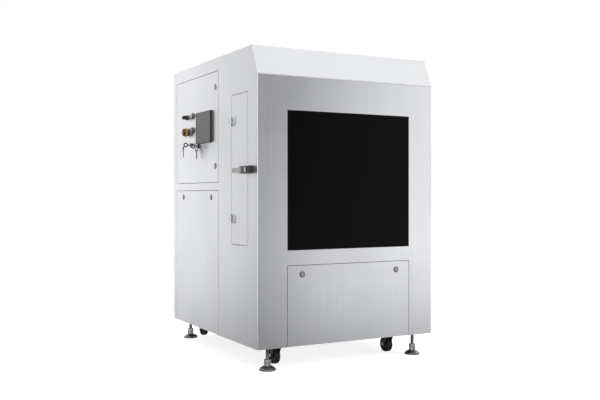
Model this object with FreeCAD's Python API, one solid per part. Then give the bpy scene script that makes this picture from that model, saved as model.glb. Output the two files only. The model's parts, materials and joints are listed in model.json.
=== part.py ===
"""Floor-standing laser resin printer, as an assembly of separate pieces.

Millimetres. +Z is up and the floor is Z = 0. The front faces -Y and the controls are on the -X side.
The origin is on the floor, under the middle of the overall box.
"""
import FreeCAD
import Part

import math
import os

# Cabinet
cabinet_width = 1230.0
cabinet_depth = 1395.0
cabinet_height = 1750.0
ground_clearance = 135.0
control_reach = 64.0
sheet = 2.0
panel_gap = 3.0
seam = 0.5
bend_radius = 4.0
edge_round = 1.2
return_depth = 20.0
panel_rise = 1.2
fascia_return = 8.0
hood_rise = 172.0
hood_setback = 74.0
hood_lip = 6.0

# Front window, a pivoting door
window_width = 858.0
window_height = 813.0
window_below_hood = 203.0
window_offset = 8.0
pane_thickness = 6.0
pane_corner = 5.0
frame_bar = 34.0
frame_bar_depth = 14.0
frame_margin = 3.0

# Lower front panel
front_panel_width = 861.0
strip_under_window = 90.0
front_lock_inset = 98.0
front_lock_drop = 53.0

# Control door and lower side panel, both on the left side
control_door_width = 763.0
control_door_height = 704.0
control_door_below_top = 83.0
control_door_from_rear = 62.0
strip_under_control_door = 51.0
control_lock_inset = 55.0
control_lock_top_drop = 97.0
control_lock_bottom_rise = 105.0
side_lock_front_inset = 126.0
side_lock_rear_inset = 130.0
side_lock_drop = 44.0

# Narrow inspection door, on the left side
inspection_front = 129.0
inspection_width = 235.0
inspection_height = 900.0
inspection_bottom = 586.0
hinge_top_drop = 158.0
hinge_bottom_rise = 153.0
hinge_axis_out = 6.0
hinge_knuckle_radius = 5.0
hinge_pin_radius = 2.5
hinge_height = 54.0
leaf_thickness = 2.5
leaf_clearance = 1.0
knuckle_gap = 0.3
door_leaf_length = 58.0
frame_leaf_length = 44.0
frame_leaf_height = 22.0

# Latch on the inspection door
latch_rise = 445.0
latch_height = 43.0
latch_over_frame = 73.0
latch_over_door = 67.0
latch_stand = 26.0
latch_frame_gap = 1.0
latch_edge_round = 4.0
lever_length = 142.0
lever_height = 28.0
lever_thickness = 6.0
lever_knuckle_radius = 7.0
lever_pin_radius = 3.0
lever_pin_inset = 14.0
lever_pin_out = 15.0
lever_side_gap = 0.5

# Pivot hinges of the window and the control door
pivot_inset = 14.0
pivot_depth = 12.0
pivot_pin_radius = 4.0
pivot_pin_reach = 14.0
pivot_bracket_width = 24.0
pivot_bracket_plate = 4.0
pivot_bracket_tab = 30.0
pivot_bracket_gap = 1.0
running_clearance = 0.05
round_sides = 16
same_place = 1e-6

# Quarter-turn locks
lock_head_radius = 14.0
lock_head_height = 3.0
lock_slot_width = 4.0
lock_slot_depth = 1.5
lock_hole_radius = 9.0
lock_shank = 12.0
lock_shank_length = 22.0
lock_sides = 20
lock_cam_length = 66.0
lock_cam_width = 16.0
lock_cam_plate = 3.0

# Screen on the control door
screen_width = 251.0
screen_height = 205.0
screen_from_front = 109.0
screen_from_bottom = 260.0
screen_stand = 12.0
screen_border = 4.0
screen_pane = 3.0
screen_pane_proud = 0.5
screen_back_margin = 14.0
screen_back_depth = 34.0

# Switches on the control door, placed from the door's front and bottom edges
selector_place = (556.0, 452.0)
start_place = (449.0, 455.0)
stop_place = (549.0, 350.0)
reset_place = (445.0, 358.0)
upper_key_place = (478.0, 259.0)
lower_key_place = (338.0, 243.0)
switch_hole_radius = 11.0
switch_block = 30.0
switch_block_length = 38.0
switch_bore_radius = 7.0
switch_stem = 9.0
switch_sides = 18
bezel_radius = 17.0
bezel_height = 9.0
bezel_wall = 3.0
bezel_floor = 2.0
switch_gap = 0.1
cap_gap = 0.4
cap_proud = 3.0
cap_bevel = 1.2
cap_floor_gap = 4.5
stem_length = 24.0
stop_base_radius = 24.0
stop_base_height = 10.0
stop_hub_radius = 16.0
stop_ring_radius = 33.0
stop_ring_top_radius = 29.0
stop_ring_height = 10.0
stop_travel_gap = 5.0
mushroom_radius = 26.0
mushroom_height = 13.0
mushroom_side = 6.0
mushroom_shoulder = 0.82
mushroom_crown = 0.5
mushroom_crown_drop = 2.0
mushroom_neck_radius = 10.0
knob_radius = 13.0
knob_length = 26.0
knob_grip_width = 9.0
knob_grip_depth = 14.0
knob_gap = 0.3
key_bezel_radius = 14.0
key_bezel_height = 8.0
key_plug_radius = 8.0
key_plug_length = 30.0
key_neck_length = 15.0
key_bow_radius = 17.0
key_hole_radius = 8.0
key_thickness = 2.6
key_blade_width = 8.0
spare_length = 62.0
spare_bow_radius = 12.0
spare_hole_radius = 6.0
spare_hole_wall = 2.5
spare_blade_width = 7.0
upper_ring_radius = 9.0
lower_ring_radius = 11.0
key_ring_wire = 0.9
key_ring_sides = 16
key_bow_sides = 12
key_ring_play = 0.8
upper_spare_play = 3.0
lower_spare_play = 0.8
upper_ring_angle = 45.0
upper_spare_turn = 48.0
lower_ring_along_neck = 8.0

# Frame inside the cabinet
post_size = 50.0
post_wall = 3.0
base_tube = 60.0
base_wall = 4.0
base_above_edge = 2.0
corner_plate = 8.0
corner_plate_width = 256.0
corner_plate_depth = 250.0

# Build chamber
deck_below_window = 62.0
deck_thickness = 6.0
plate_front_inset = 30.0
wall_from_recoater = 16.0
optics_above_window = 65.0
optics_thickness = 12.0
optics_hole = 150.0
port_inset = 20.0
port_height = 740.0
vat_width = 700.0
vat_depth = 700.0
vat_from_front = 100.0
vat_above_base = 20.0
vat_wall = 4.0
vat_rim = 15.0
vat_clearance = 1.0
vat_to_column = 20.0

# Lifting axis
column_width = 220.0
column_depth = 60.0
z_rail_spacing = 160.0
rail_width = 20.0
rail_height = 14.0
rail_gap = 0.3
z_rail_end = 30.0
screw_radius = 10.0
screw_from_column = 12.0
bearing_height = 25.0
bearing_rise = 10.0
bearing_width = 60.0
motor_size = 86.0
motor_height = 92.0
motor_bevel = 6.0
carriage_width = 230.0
carriage_plate = 20.0
carriage_height = 150.0
carriage_above_deck = 480.0
guide_width = 44.0
guide_height = 60.0
guide_roof = 4.0
nut_width = 40.0
nut_height = 60.0
hanger_spacing = 170.0
hanger_plate = 12.0
hanger_depth = 60.0
platform_size = 600.0
platform_thickness = 10.0
platform_above_deck = 120.0
platform_overlap = 24.0
platform_hole = 20.0
platform_holes_per_side = 6
platform_edge = 60.0

# Recoater
recoater_rail_from_vat = 10.0
recoater_rail_start = 20.0
recoater_depth = 80.0
recoater_height = 60.0
recoater_overhang = 24.0
recoater_rest = 12.0
recoater_foot = 40.0
blade_width = 640.0
blade_thickness = 10.0
blade_gap = 1.0

# Optics and control units
scan_head_size = (220.0, 190.0, 150.0)
scan_nose_radius = 60.0
scan_nose_length = 9.0
laser_size = (420.0, 160.0, 130.0)
laser_gap = 40.0
unit_plate = 4.0
housing_bevel = 4.0
computer_size = (78.0, 300.0, 240.0)
drive_size = (70.0, 60.0, 180.0)
drive_count = 3
drive_pitch = 80.0
unit_spacing = 40.0

# Rear panel louvres
louvre_width = 260.0
louvre_height = 12.0
louvre_out = 7.0
louvre_pitch = 30.0
louvre_rows = 9
louvre_columns = 2
louvre_column_pitch = 420.0
louvre_bottom = 260.0

# Levelling feet, placed from the nearest cabinet sides
foot_from_side = 99.0
foot_from_front = 71.0
foot_from_rear = 74.0
foot_pad_radius = 49.0
foot_sole_height = 10.5
foot_bell_height = 16.5
foot_bell_bulge = 1.75
foot_collar_radius = 20.0
foot_sides = 22
foot_collar_height = 22.0
foot_nut_across = 36.0
foot_nut_height = 17.0
foot_stem_radius = 11.0
foot_stem_top_gap = 8.0

# Casters, placed from the nearest cabinet sides
caster_from_side = 209.0
caster_from_front = 171.0
caster_from_rear = 82.0
caster_trail = 32.0
caster_plate_width = 92.0
caster_plate_depth = 84.0
caster_plate_height = 5.0
caster_boss_radius = 27.0
caster_boss_height = 8.0
caster_kingpin_radius = 8.0
kingpin_head_across = 22.0
kingpin_head_height = 2.5
caster_gap = 0.3
fork_plate = 5.0
fork_leg_width = 44.0
wheel_radius = 50.0
wheel_width = 36.0
wheel_floor_gap = 4.0
wheel_side_gap = 2.0
wheel_hub_radius = 16.0
wheel_groove_radius = 28.0
wheel_dish = 9.0
tread_depth = 9.0
tread_shoulder = 5.0
wheel_sides = 24
axle_radius = 6.0

# Places that follow from the sizes above
left_face = (control_reach - cabinet_width) / 2
right_face = left_face + cabinet_width
front_face = -cabinet_depth / 2
rear_face = cabinet_depth / 2
bottom_edge = ground_clearance
top_edge = ground_clearance + cabinet_height
middle_x = (left_face + right_face) / 2
hood_low = cabinet_height - hood_rise
fascia_top = hood_low - hood_lip - seam

window_left = (cabinet_width - window_width) / 2 + window_offset
window_top = hood_low - window_below_hood
window_bottom = window_top - window_height
front_panel_left = (cabinet_width - front_panel_width) / 2 + window_offset
front_panel_top = window_bottom - strip_under_window

control_rear = cabinet_depth - control_door_from_rear
control_front = control_rear - control_door_width
control_top = cabinet_height - control_door_below_top
control_bottom = control_top - control_door_height
side_panel_top = control_bottom - strip_under_control_door

inspection_rear = inspection_front + inspection_width
inspection_top = inspection_bottom + inspection_height

base_inset = return_depth
base_low = bottom_edge + base_above_edge
base_top = base_low + base_tube
deck_top = bottom_edge + window_bottom - deck_below_window
deck_low = deck_top - deck_thickness
optics_low = bottom_edge + window_top + optics_above_window
optics_top = optics_low + optics_thickness
chamber_front = front_face + plate_front_inset
vat_front = front_face + vat_from_front
vat_back = vat_front + vat_depth
column_front = vat_back + vat_to_column
chamber_back = column_front + column_depth
recoater_rail_spacing = vat_width + 2 * (vat_rim + recoater_rail_from_vat) + rail_width
recoater_half = recoater_rail_spacing / 2 + recoater_overhang
chamber_width = 2 * (recoater_half + wall_from_recoater)
carriage_front = column_front - rail_height - carriage_plate - guide_roof
carriage_low = deck_top + carriage_above_deck
platform_low = deck_top + platform_above_deck
platform_back = carriage_front - hanger_depth + platform_overlap

UP = FreeCAD.Vector(0, 0, 1)
ALONG_X = FreeCAD.Vector(1, 0, 0)
ALONG_Y = FreeCAD.Vector(0, 1, 0)


class Face:
    """An upright outer face of the cabinet, with its own across, up and outward directions."""

    def __init__(self, corner, across, outward):
        self.corner = corner
        self.across = across
        self.outward = outward

    def point(self, across, up, out):
        """The point this far across, up and out from the face's lower corner."""
        return self.corner + self.across * across + UP * up + self.outward * out

    def block(self, across, up, out):
        """A box between the low and high value of each pair."""
        one = self.point(across[0], up[0], out[0])
        other = self.point(across[1], up[1], out[1])
        return block((one.x, other.x), (one.y, other.y), (one.z, other.z))

    def disc(self, across, up, radius, out):
        """A round bar square to the face, from the low to the high outward value."""
        return rod(radius, self.point(across, up, out[0]), out[1] - out[0], self.outward)

    def hole(self, across, up, radius, out):
        """A round hole square to the face, from the low to the high outward value."""
        return round_hole(radius, self.point(across, up, out[0]), out[1] - out[0], self.outward)

    def turned(self, across, up, profile, sides):
        """A turned solid square to the face, from (radius, outward) points."""
        return turned(profile, self.point(across, up, 0), self.outward, sides)

    def square(self, across, up, size, out):
        """A square bar square to the face, from the low to the high outward value."""
        half = size / 2
        return self.block((across - half, across + half), (up - half, up + half), out)

    def rod(self, across, up, radius, out):
        """An upright round bar, between the low and high value of up."""
        return rod(radius, self.point(across, up[0], out), up[1] - up[0], UP)

    def upright_hole(self, across, up, radius, out):
        """An upright round hole, between the low and high value of up."""
        return round_hole(radius, self.point(across, up[0], out), up[1] - up[0], UP)


def block(across_x, across_y, across_z):
    """A box between the two values of each pair, in either order."""
    low = FreeCAD.Vector(min(across_x), min(across_y), min(across_z))
    high = FreeCAD.Vector(max(across_x), max(across_y), max(across_z))
    size = high - low
    return Part.makeBox(size.x, size.y, size.z, low)


def rod(radius, start, length, direction):
    """A round bar with a few flat sides, from a start point; its corners are on the radius."""
    return prism(ring_of(radius, start, direction, round_sides), direction * length)


def round_hole(radius, start, length, direction):
    """A hole that a bar of this radius can turn in; its flats are on the radius."""
    return rod(radius / math.cos(math.pi / round_sides), start, length, direction)


def prism(points, direction):
    """A solid with this flat outline, pushed along a direction."""
    outline = Part.makePolygon(points + [points[0]])
    return Part.Face(outline).extrude(direction)


def ring_of(radius, centre, axis, sides):
    """The corners of a regular polygon round an axis."""
    turn = FreeCAD.Rotation(UP, axis)
    steps = [FreeCAD.Rotation(UP, 360 * step / sides) for step in range(sides)]
    return [centre + turn.multVec(step.multVec(ALONG_X * radius)) for step in steps]


def turned(profile, base, axis, sides):
    """A solid turned about an axis from (radius, distance) points, with flat sides."""
    faces = []
    for near, far in zip(profile, profile[1:] + profile[:1]):
        near_ring = ring_of(near[0], base + axis * near[1], axis, sides)
        far_ring = ring_of(far[0], base + axis * far[1], axis, sides)
        for step in range(sides):
            after = (step + 1) % sides
            corners = [near_ring[step]]
            if near[0] > 0:
                corners.append(near_ring[after])
            corners.append(far_ring[after])
            if far[0] > 0:
                corners.append(far_ring[step])
            if len(corners) > 2:
                faces.append(Part.Face(Part.makePolygon(corners + [corners[0]])))
    return Part.Solid(Part.Shell(faces)).removeSplitter()


def hexagon(across, start, height):
    """An upright hexagon bar, this wide between its flats."""
    return prism(ring_of(across / math.sqrt(3), start, UP, 6), UP * height)


def fuse(first, *others):
    """One solid made of solids that touch."""
    return first.fuse(list(others)).removeSplitter()


def bevelled(shape, size, direction):
    """The shape with its straight edges along a direction bevelled."""
    return shape.makeChamfer(size, [edge for edge in shape.Edges if is_along(edge, direction)])


def rounded(shape, radius, chosen):
    """The shape with the edges that chosen picks rounded over."""
    return shape.makeFillet(radius, [edge for edge in shape.Edges if chosen(edge)])


def is_along(edge, direction):
    """True for a straight edge along a direction."""
    span = edge.Vertexes[-1].Point - edge.Vertexes[0].Point
    return span.Length > 0 and span.cross(direction).Length < same_place * span.Length


def lies_at(edge, direction, place):
    """True for an edge whose every vertex is at this place along a direction."""
    return all(abs(vertex.Point.dot(direction) - place) < same_place for vertex in edge.Vertexes)


left = Face(FreeCAD.Vector(left_face, front_face, bottom_edge), ALONG_Y, -ALONG_X)
front = Face(FreeCAD.Vector(left_face, front_face, bottom_edge), ALONG_X, -ALONG_Y)


def hood_line(inward):
    """The hood's knee and crest as (depth behind the front face, height), this far inside its outer skin."""
    length = math.hypot(hood_setback, hood_rise)
    run = hood_setback / length
    climb = hood_rise / length
    to_knee = inward * (1 - climb) / run
    to_crest = (hood_rise - inward * (1 - run)) / climb
    knee = (inward, hood_low + to_knee * climb - inward * run)
    crest = (to_crest * run + inward * climb, cabinet_height - inward)
    return knee, crest


def side_point(depth, height):
    """A point on the left face, this far behind the front and above the cabinet's lower edge."""
    return left.point(depth, height, 0)


def pan(face, across, up):
    """A door or panel of folded sheet, open at the back."""
    outer = face.block(across, up, (-return_depth, 0))
    wide = (across[0] + sheet, across[1] - sheet)
    tall = (up[0] + sheet, up[1] - sheet)
    return outer.cut(face.block(wide, tall, (-return_depth - sheet, -sheet)))


def opening(face, across, up):
    """The hole in a skin for a door or panel of this size."""
    wide = (across[0] - panel_gap, across[1] + panel_gap)
    tall = (up[0] - panel_gap, up[1] + panel_gap)
    return face.block(wide, tall, (-return_depth, sheet))


def shrink(span):
    """A door's span, less half the gap line at each end."""
    return span[0] + panel_gap / 2, span[1] - panel_gap / 2


control_span = shrink((control_front, control_rear))
control_rise = shrink((control_bottom, control_top))
side_span = shrink((control_front, control_rear))
side_rise = (panel_rise, side_panel_top - panel_gap / 2)
inspection_span = shrink((inspection_front, inspection_rear))
inspection_rise = shrink((inspection_bottom, inspection_top))
window_span = shrink((window_left, window_left + window_width))
window_rise = shrink((window_bottom, window_top))
front_span = shrink((front_panel_left, front_panel_left + front_panel_width))
front_rise = (panel_rise, front_panel_top - panel_gap / 2)


def front_fascia():
    """Front sheet, folded back at both sides, open at the window and the lower panel."""
    outer = front.block((0, cabinet_width), (0, fascia_top), (-fascia_return, 0))
    flush = front.point(0, 0, 0).dot(front.outward)
    outer = rounded(
        outer, bend_radius, lambda edge: lies_at(edge, front.outward, flush) and is_along(edge, UP)
    )
    between = (sheet, cabinet_width - sheet)
    hollow = front.block(between, (-sheet, fascia_top + sheet), (-fascia_return - sheet, -sheet))
    keeper_low = front_rise[1] + panel_gap
    keeper = front.block(front_span, (keeper_low, keeper_low + sheet), (-return_depth, -sheet))
    window_hole = opening(front, window_span, window_rise)
    panel_hole = opening(front, front_span, front_rise)
    return fuse(outer.cut([hollow, window_hole, panel_hole]), keeper)


def hood():
    """Top sheet that bends down over the front as a slope and a short lip."""
    sections = []
    for inward in (0, sheet):
        knee, crest = hood_line(inward)
        low = hood_low - hood_lip - inward
        back = cabinet_depth + inward
        outline = [(inward, low), knee, crest, (back, crest[1]), (back, low)]
        points = [side_point(depth, height) for depth, height in outline]
        sections.append(prism(points, ALONG_X * cabinet_width))
    shell = sections[0].cut(sections[1])
    bends = [side_point(*corner) for corner in hood_line(0)]

    def is_bend(edge):
        """True for one of the two outer edges that the sheet is bent over."""
        return is_along(edge, ALONG_X) and any(
            lies_at(edge, ALONG_Y, bend.y) and lies_at(edge, UP, bend.z) for bend in bends
        )

    return rounded(shell, bend_radius, is_bend)


def side_sheet():
    """A side skin's outline on the left face, under the hood and between fascia and rear panel."""
    knee, crest = hood_line(sheet)
    fold = fascia_return + seam
    back = cabinet_depth - sheet
    shoulder = fascia_top + seam
    outline = [(fold, 0), (back, 0), (back, crest[1]), crest, knee, (sheet, shoulder), (fold, shoulder)]
    points = [side_point(depth, height) for depth, height in outline]
    return prism(points, ALONG_X * sheet)


def left_skin():
    """Left skin with the openings for two doors and the lower panel, and the folds that the locks grip."""
    keeper_front = control_span[0] - panel_gap
    door_keeper = left.block((keeper_front - sheet, keeper_front), control_rise, (-return_depth, -sheet))
    keeper_low = side_rise[1] + panel_gap
    panel_keeper = left.block(side_span, (keeper_low, keeper_low + sheet), (-return_depth, -sheet))
    skin = side_sheet().cut([
        opening(left, control_span, control_rise),
        opening(left, side_span, side_rise),
        opening(left, inspection_span, inspection_rise),
    ])
    return fuse(skin, door_keeper, panel_keeper)


def right_skin():
    """Plain right skin."""
    sheet_on_left = side_sheet()
    sheet_on_left.translate(ALONG_X * (cabinet_width - sheet))
    return sheet_on_left


def rear_panel():
    """Rear sheet with columns of pressed louvres that open downwards."""
    panel = block((left_face, right_face), (rear_face - sheet, rear_face), (bottom_edge, top_edge - sheet))
    hoods = []
    slots = []
    for column in range(louvre_columns):
        centre = middle_x + (column - (louvre_columns - 1) / 2) * louvre_column_pitch
        start = centre - louvre_width / 2
        for row in range(louvre_rows):
            low = bottom_edge + louvre_bottom + row * louvre_pitch
            high = low + louvre_height
            inner = rear_face - sheet
            tip = rear_face + louvre_out
            lip = [(inner, high), (tip, low + sheet), (tip, low), (inner, high - sheet)]
            points = [FreeCAD.Vector(start, depth, height) for depth, height in lip]
            hoods.append(prism(points, ALONG_X * louvre_width))
            wide = (start, start + louvre_width)
            slots.append(block(wide, (inner - sheet, rear_face + sheet), (low, high - sheet)))
    return fuse(panel.cut(slots), *hoods)


def base_frame():
    """Welded ring of angle, open inwards, with a plate in each corner for a foot and a caster."""
    low_x, high_x = left_face + base_inset, right_face - base_inset
    low_y, high_y = front_face + base_inset, rear_face - base_inset
    ring = block((low_x, high_x), (low_y, high_y), (base_low, base_top))
    hole = block(
        (low_x + base_tube, high_x - base_tube), (low_y + base_tube, high_y - base_tube),
        (base_low - sheet, base_top + sheet),
    )
    under = block(
        (low_x + base_wall, high_x - base_wall), (low_y + base_wall, high_y - base_wall),
        (base_low - sheet, base_top - base_wall),
    )
    frame = ring.cut([hole, under])
    plates = []
    for side_x in (low_x, high_x - corner_plate_width):
        for side_y in (low_y, high_y - corner_plate_depth):
            plates.append(block(
                (side_x, side_x + corner_plate_width), (side_y, side_y + corner_plate_depth),
                (base_low, base_low + corner_plate),
            ))
    frame = fuse(frame, *plates)
    stems = []
    for _, x, y in foot_places():
        start = FreeCAD.Vector(x, y, base_low - sheet)
        stems.append(round_hole(foot_stem_radius + running_clearance, start, base_tube - base_wall, UP))
    return frame.cut(stems)


def frame_posts():
    """Four square tubes that stand on the base ring and carry the skins."""
    posts = []
    for low_x in (left_face + sheet, right_face - sheet - post_size):
        for low_y in (front_face + fascia_return + seam, rear_face - sheet - post_size):
            is_front = low_y < 0
            high = bottom_edge + (fascia_top if is_front else cabinet_height - sheet)
            tube = block((low_x, low_x + post_size), (low_y, low_y + post_size), (base_top, high))
            bore = block(
                (low_x + post_wall, low_x + post_size - post_wall),
                (low_y + post_wall, low_y + post_size - post_wall),
                (base_top - post_wall, high + post_wall),
            )
            posts.append(tube.cut(bore))
    return Part.makeCompound(posts)


def pivot_hinge(face, across, edge, way):
    """A welded bracket with the pin that a door turns on, above (way 1) or below (way -1) the door's edge."""
    plate_near = edge + way * pivot_bracket_gap
    plate_far = plate_near + way * pivot_bracket_plate
    sides = (across - pivot_bracket_width / 2, across + pivot_bracket_width / 2)
    reach = pivot_depth + pivot_bracket_width / 2
    plate = face.block(sides, (plate_near, plate_far), (-reach, -sheet))
    tab = face.block(
        sides,
        (edge + way * (panel_gap + pivot_bracket_gap), edge + way * pivot_bracket_tab),
        (-sheet - pivot_bracket_plate, -sheet),
    )
    pin = face.rod(across, sorted((plate_far, edge - way * pivot_pin_reach)), pivot_pin_radius, -pivot_depth)
    return fuse(plate, tab, pin)


def pivot_hole(face, across, edge, way):
    """The hole that a pivot pin runs in."""
    span = sorted((edge + way * sheet, edge - way * (pivot_pin_reach + pivot_bracket_gap)))
    return face.upright_hole(across, span, pivot_pin_radius + running_clearance, -pivot_depth)


window_pivot = window_span[0] + pivot_inset
control_pivot = control_span[1] - pivot_inset


def window_pane():
    """Dark pane, flush with the front."""
    pane = front.block(window_span, window_rise, (-pane_thickness, 0))
    return rounded(pane, pane_corner, lambda edge: is_along(edge, front.outward))


def window_frame():
    """Square ring behind the pane, which turns on the two pivot pins."""
    wide = (window_span[0] + frame_margin, window_span[1] - frame_margin)
    tall = (window_rise[0] + frame_margin, window_rise[1] - frame_margin)
    back = -pane_thickness - frame_bar_depth
    ring = front.block(wide, tall, (back, -pane_thickness))
    view_wide = (wide[0] + frame_bar, wide[1] - frame_bar)
    view_tall = (tall[0] + frame_bar, tall[1] - frame_bar)
    cuts = [front.block(view_wide, view_tall, (back - sheet, 0))]
    cuts.append(pivot_hole(front, window_pivot, window_rise[0], -1))
    cuts.append(pivot_hole(front, window_pivot, window_rise[1], 1))
    return ring.cut(cuts)


hinge_axis = inspection_span[1] + panel_gap / 2
hinge_heights = (inspection_bottom + hinge_bottom_rise, inspection_top - hinge_top_drop)
knuckle_third = hinge_height / 3


def knuckle(up):
    """A stretch of hinge barrel, bored for the pin."""
    barrel = left.rod(hinge_axis, up, hinge_knuckle_radius, hinge_axis_out)
    return barrel.cut(left.upright_hole(hinge_axis, up, hinge_pin_radius + running_clearance, hinge_axis_out))


def door_leaf(height):
    """The hinge half on the inspection door: a rounded leaf with the middle knuckle."""
    near = hinge_axis - hinge_knuckle_radius - leaf_clearance
    arc_radius = hinge_height / 2
    flat_end = hinge_axis - door_leaf_length + arc_radius
    leaf = left.block((flat_end, near), (height - arc_radius, height + arc_radius), (0, leaf_thickness))
    round_end = left.disc(flat_end, height, arc_radius, (0, leaf_thickness))
    middle = (height - knuckle_third / 2 + knuckle_gap, height + knuckle_third / 2 - knuckle_gap)
    web = left.block((near, hinge_axis), middle, (0, leaf_thickness))
    bore = left.upright_hole(hinge_axis, middle, hinge_pin_radius + running_clearance, hinge_axis_out)
    return fuse(leaf, round_end, web, knuckle(middle)).cut(bore)


def frame_leaf(height):
    """The hinge half on the cabinet: a narrow tab with the outer knuckles and the pin."""
    near = hinge_axis + hinge_knuckle_radius + leaf_clearance
    tab_round = frame_leaf_height / 2
    end = hinge_axis + frame_leaf_length - tab_round
    tab = left.block((near, end), (height - tab_round, height + tab_round), (0, leaf_thickness))
    tip = left.disc(end, height, tab_round, (0, leaf_thickness))
    whole = (height - hinge_height / 2, height + hinge_height / 2)
    strip = left.block((near, near + tab_round), whole, (0, leaf_thickness))
    pieces = [tip, strip]
    for way in (-1, 1):
        ends = sorted((height + way * knuckle_third / 2, height + way * hinge_height / 2))
        pieces.append(left.block((hinge_axis, near), ends, (0, leaf_thickness)))
        pieces.append(left.rod(hinge_axis, ends, hinge_knuckle_radius, hinge_axis_out))
    pieces.append(left.rod(hinge_axis, whole, hinge_pin_radius, hinge_axis_out))
    return fuse(tab, *pieces)


def door_hinges():
    """The cabinet's halves of the hinges: pivots for the two large doors, tabs for the inspection door."""
    halves = [frame_leaf(height) for height in hinge_heights]
    for face, across, rise in ((front, window_pivot, window_rise), (left, control_pivot, control_rise)):
        halves.append(pivot_hinge(face, across, rise[0], -1))
        halves.append(pivot_hinge(face, across, rise[1], 1))
    return Part.makeCompound(halves)


def inspection_leaves():
    """The two hinge leaves on the inspection door."""
    return Part.makeCompound([door_leaf(height) for height in hinge_heights])


latch_low = inspection_bottom + latch_rise - latch_height / 2
latch_mid = inspection_bottom + latch_rise
latch_back = inspection_front + latch_over_door
lever_axis = latch_back - lever_pin_inset


def latch_body():
    """Latch block on the inspection door, reaching over the frame, with a slot for the lever."""
    rise = (latch_low, latch_low + latch_height)
    block_span = (inspection_front - latch_over_frame, latch_back)
    body = left.block(block_span, rise, (latch_frame_gap, latch_stand))
    flush = left.point(0, 0, latch_stand).dot(left.outward)
    body = rounded(body, latch_edge_round, lambda edge: lies_at(edge, left.outward, flush))
    seat = left.block((inspection_span[0] + edge_round, latch_back), rise, (0, latch_frame_gap))
    slot_rise = (latch_mid - lever_height / 2 - lever_side_gap, latch_mid + lever_height / 2 + lever_side_gap)
    slot = left.block(
        (lever_axis - lever_knuckle_radius - leaf_clearance, latch_back + sheet),
        slot_rise,
        (lever_pin_out - lever_knuckle_radius - leaf_clearance, latch_stand + sheet),
    )
    pin = left.rod(lever_axis, rise, lever_pin_radius, lever_pin_out)
    return fuse(fuse(body, seat).cut(slot), pin)


def latch_lever():
    """Flat lever that swings out about an upright pin."""
    rise = (latch_mid - lever_height / 2, latch_mid + lever_height / 2)
    half = lever_thickness / 2
    end_round = lever_height / 4
    span = (lever_axis, lever_axis + lever_length)
    plate = left.block(span, rise, (lever_pin_out - half, lever_pin_out + half))
    tip = left.point(lever_axis + lever_length, 0, 0).y
    plate = rounded(plate, end_round, lambda edge: lies_at(edge, ALONG_Y, tip) and is_along(edge, ALONG_X))
    barrel = left.rod(lever_axis, rise, lever_knuckle_radius, lever_pin_out)
    bore = left.upright_hole(lever_axis, rise, lever_pin_radius + running_clearance, lever_pin_out)
    return fuse(plate, barrel).cut(bore)


def lock_hole(face, across, up):
    """The hole in a panel for a lock's shank."""
    return face.hole(across, up, lock_hole_radius, (-return_depth, sheet))


def cam_reach(pivot, way):
    """A cam's span on one axis of a face: along the cam (way 1 or -1) or across it (way 0)."""
    if way == 0:
        return pivot - lock_cam_width / 2, pivot + lock_cam_width / 2
    return pivot - way * lock_cam_width / 2, pivot + way * lock_cam_length


def quarter_turn_lock(face, across, up, cam_across, cam_up):
    """A round slotted lock head, its shank, and a cam that points along the given direction."""
    outline = [(0, 0), (lock_head_radius, 0), (lock_head_radius, lock_head_height), (0, lock_head_height)]
    head = face.turned(across, up, outline, lock_sides)
    slot_out = (lock_head_height - lock_slot_depth, lock_head_height + sheet)
    half_slot = lock_slot_width / 2
    slot_rise = (up - lock_head_radius, up + lock_head_radius)
    slot = face.block((across - half_slot, across + half_slot), slot_rise, slot_out)
    shank = face.square(across, up, lock_shank, (-lock_shank_length, 0))
    cam_out = (-lock_shank_length - lock_cam_plate, -lock_shank_length)
    cam = face.block(cam_reach(across, cam_across), cam_reach(up, cam_up), cam_out)
    return fuse(head.cut(slot), shank, cam)


control_lock_across = control_front + control_lock_inset
control_lock_heights = (control_bottom + control_lock_bottom_rise, control_top - control_lock_top_drop)
side_lock_height = side_panel_top - side_lock_drop
side_lock_places = (control_front + side_lock_front_inset, control_rear - side_lock_rear_inset)
front_lock_height = front_panel_top - front_lock_drop
front_panel_right = front_panel_left + front_panel_width
front_lock_places = (front_panel_left + front_lock_inset, front_panel_right - front_lock_inset)
screen_span = (control_front + screen_from_front, control_front + screen_from_front + screen_width)
screen_rise = (control_bottom + screen_from_bottom, control_bottom + screen_from_bottom + screen_height)


def place(spot):
    """Where a switch is on the left face, from its place on the control door."""
    return control_front + spot[0], control_bottom + spot[1]


def control_door():
    """Folded door with the cut-outs for the screen, switches, locks and pivots."""
    door = pan(left, control_span, control_rise)
    cuts = [screen_back(switch_gap)]
    cuts.append(pivot_hole(left, control_pivot, control_rise[0], -1))
    cuts.append(pivot_hole(left, control_pivot, control_rise[1], 1))
    for height in control_lock_heights:
        cuts.append(lock_hole(left, control_lock_across, height))
    for spot in (selector_place, start_place, stop_place, reset_place, upper_key_place, lower_key_place):
        cuts.append(left.hole(*place(spot), switch_hole_radius + switch_gap, (-return_depth, sheet)))
    return door.cut(cuts)


def screen_back(clearance):
    """The part of the screen's housing that goes through the door, grown by a clearance."""
    return left.block(
        (screen_span[0] + screen_back_margin - clearance, screen_span[1] - screen_back_margin + clearance),
        (screen_rise[0] + screen_back_margin - clearance, screen_rise[1] - screen_back_margin + clearance),
        (-screen_back_depth, 0),
    )


def screen_glass():
    """Front pane of the screen."""
    return left.block(
        (screen_span[0] + screen_border, screen_span[1] - screen_border),
        (screen_rise[0] + screen_border, screen_rise[1] - screen_border),
        (screen_stand - screen_pane, screen_stand + screen_pane_proud),
    )


def screen_housing():
    """Box of the screen, standing out of the door, with a recess for the pane."""
    box = left.block(screen_span, screen_rise, (0, screen_stand))
    flush = left.point(0, 0, screen_stand).dot(left.outward)
    box = rounded(box, edge_round, lambda edge: lies_at(edge, left.outward, flush))
    return fuse(box, screen_back(0)).cut(screen_glass())


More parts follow.
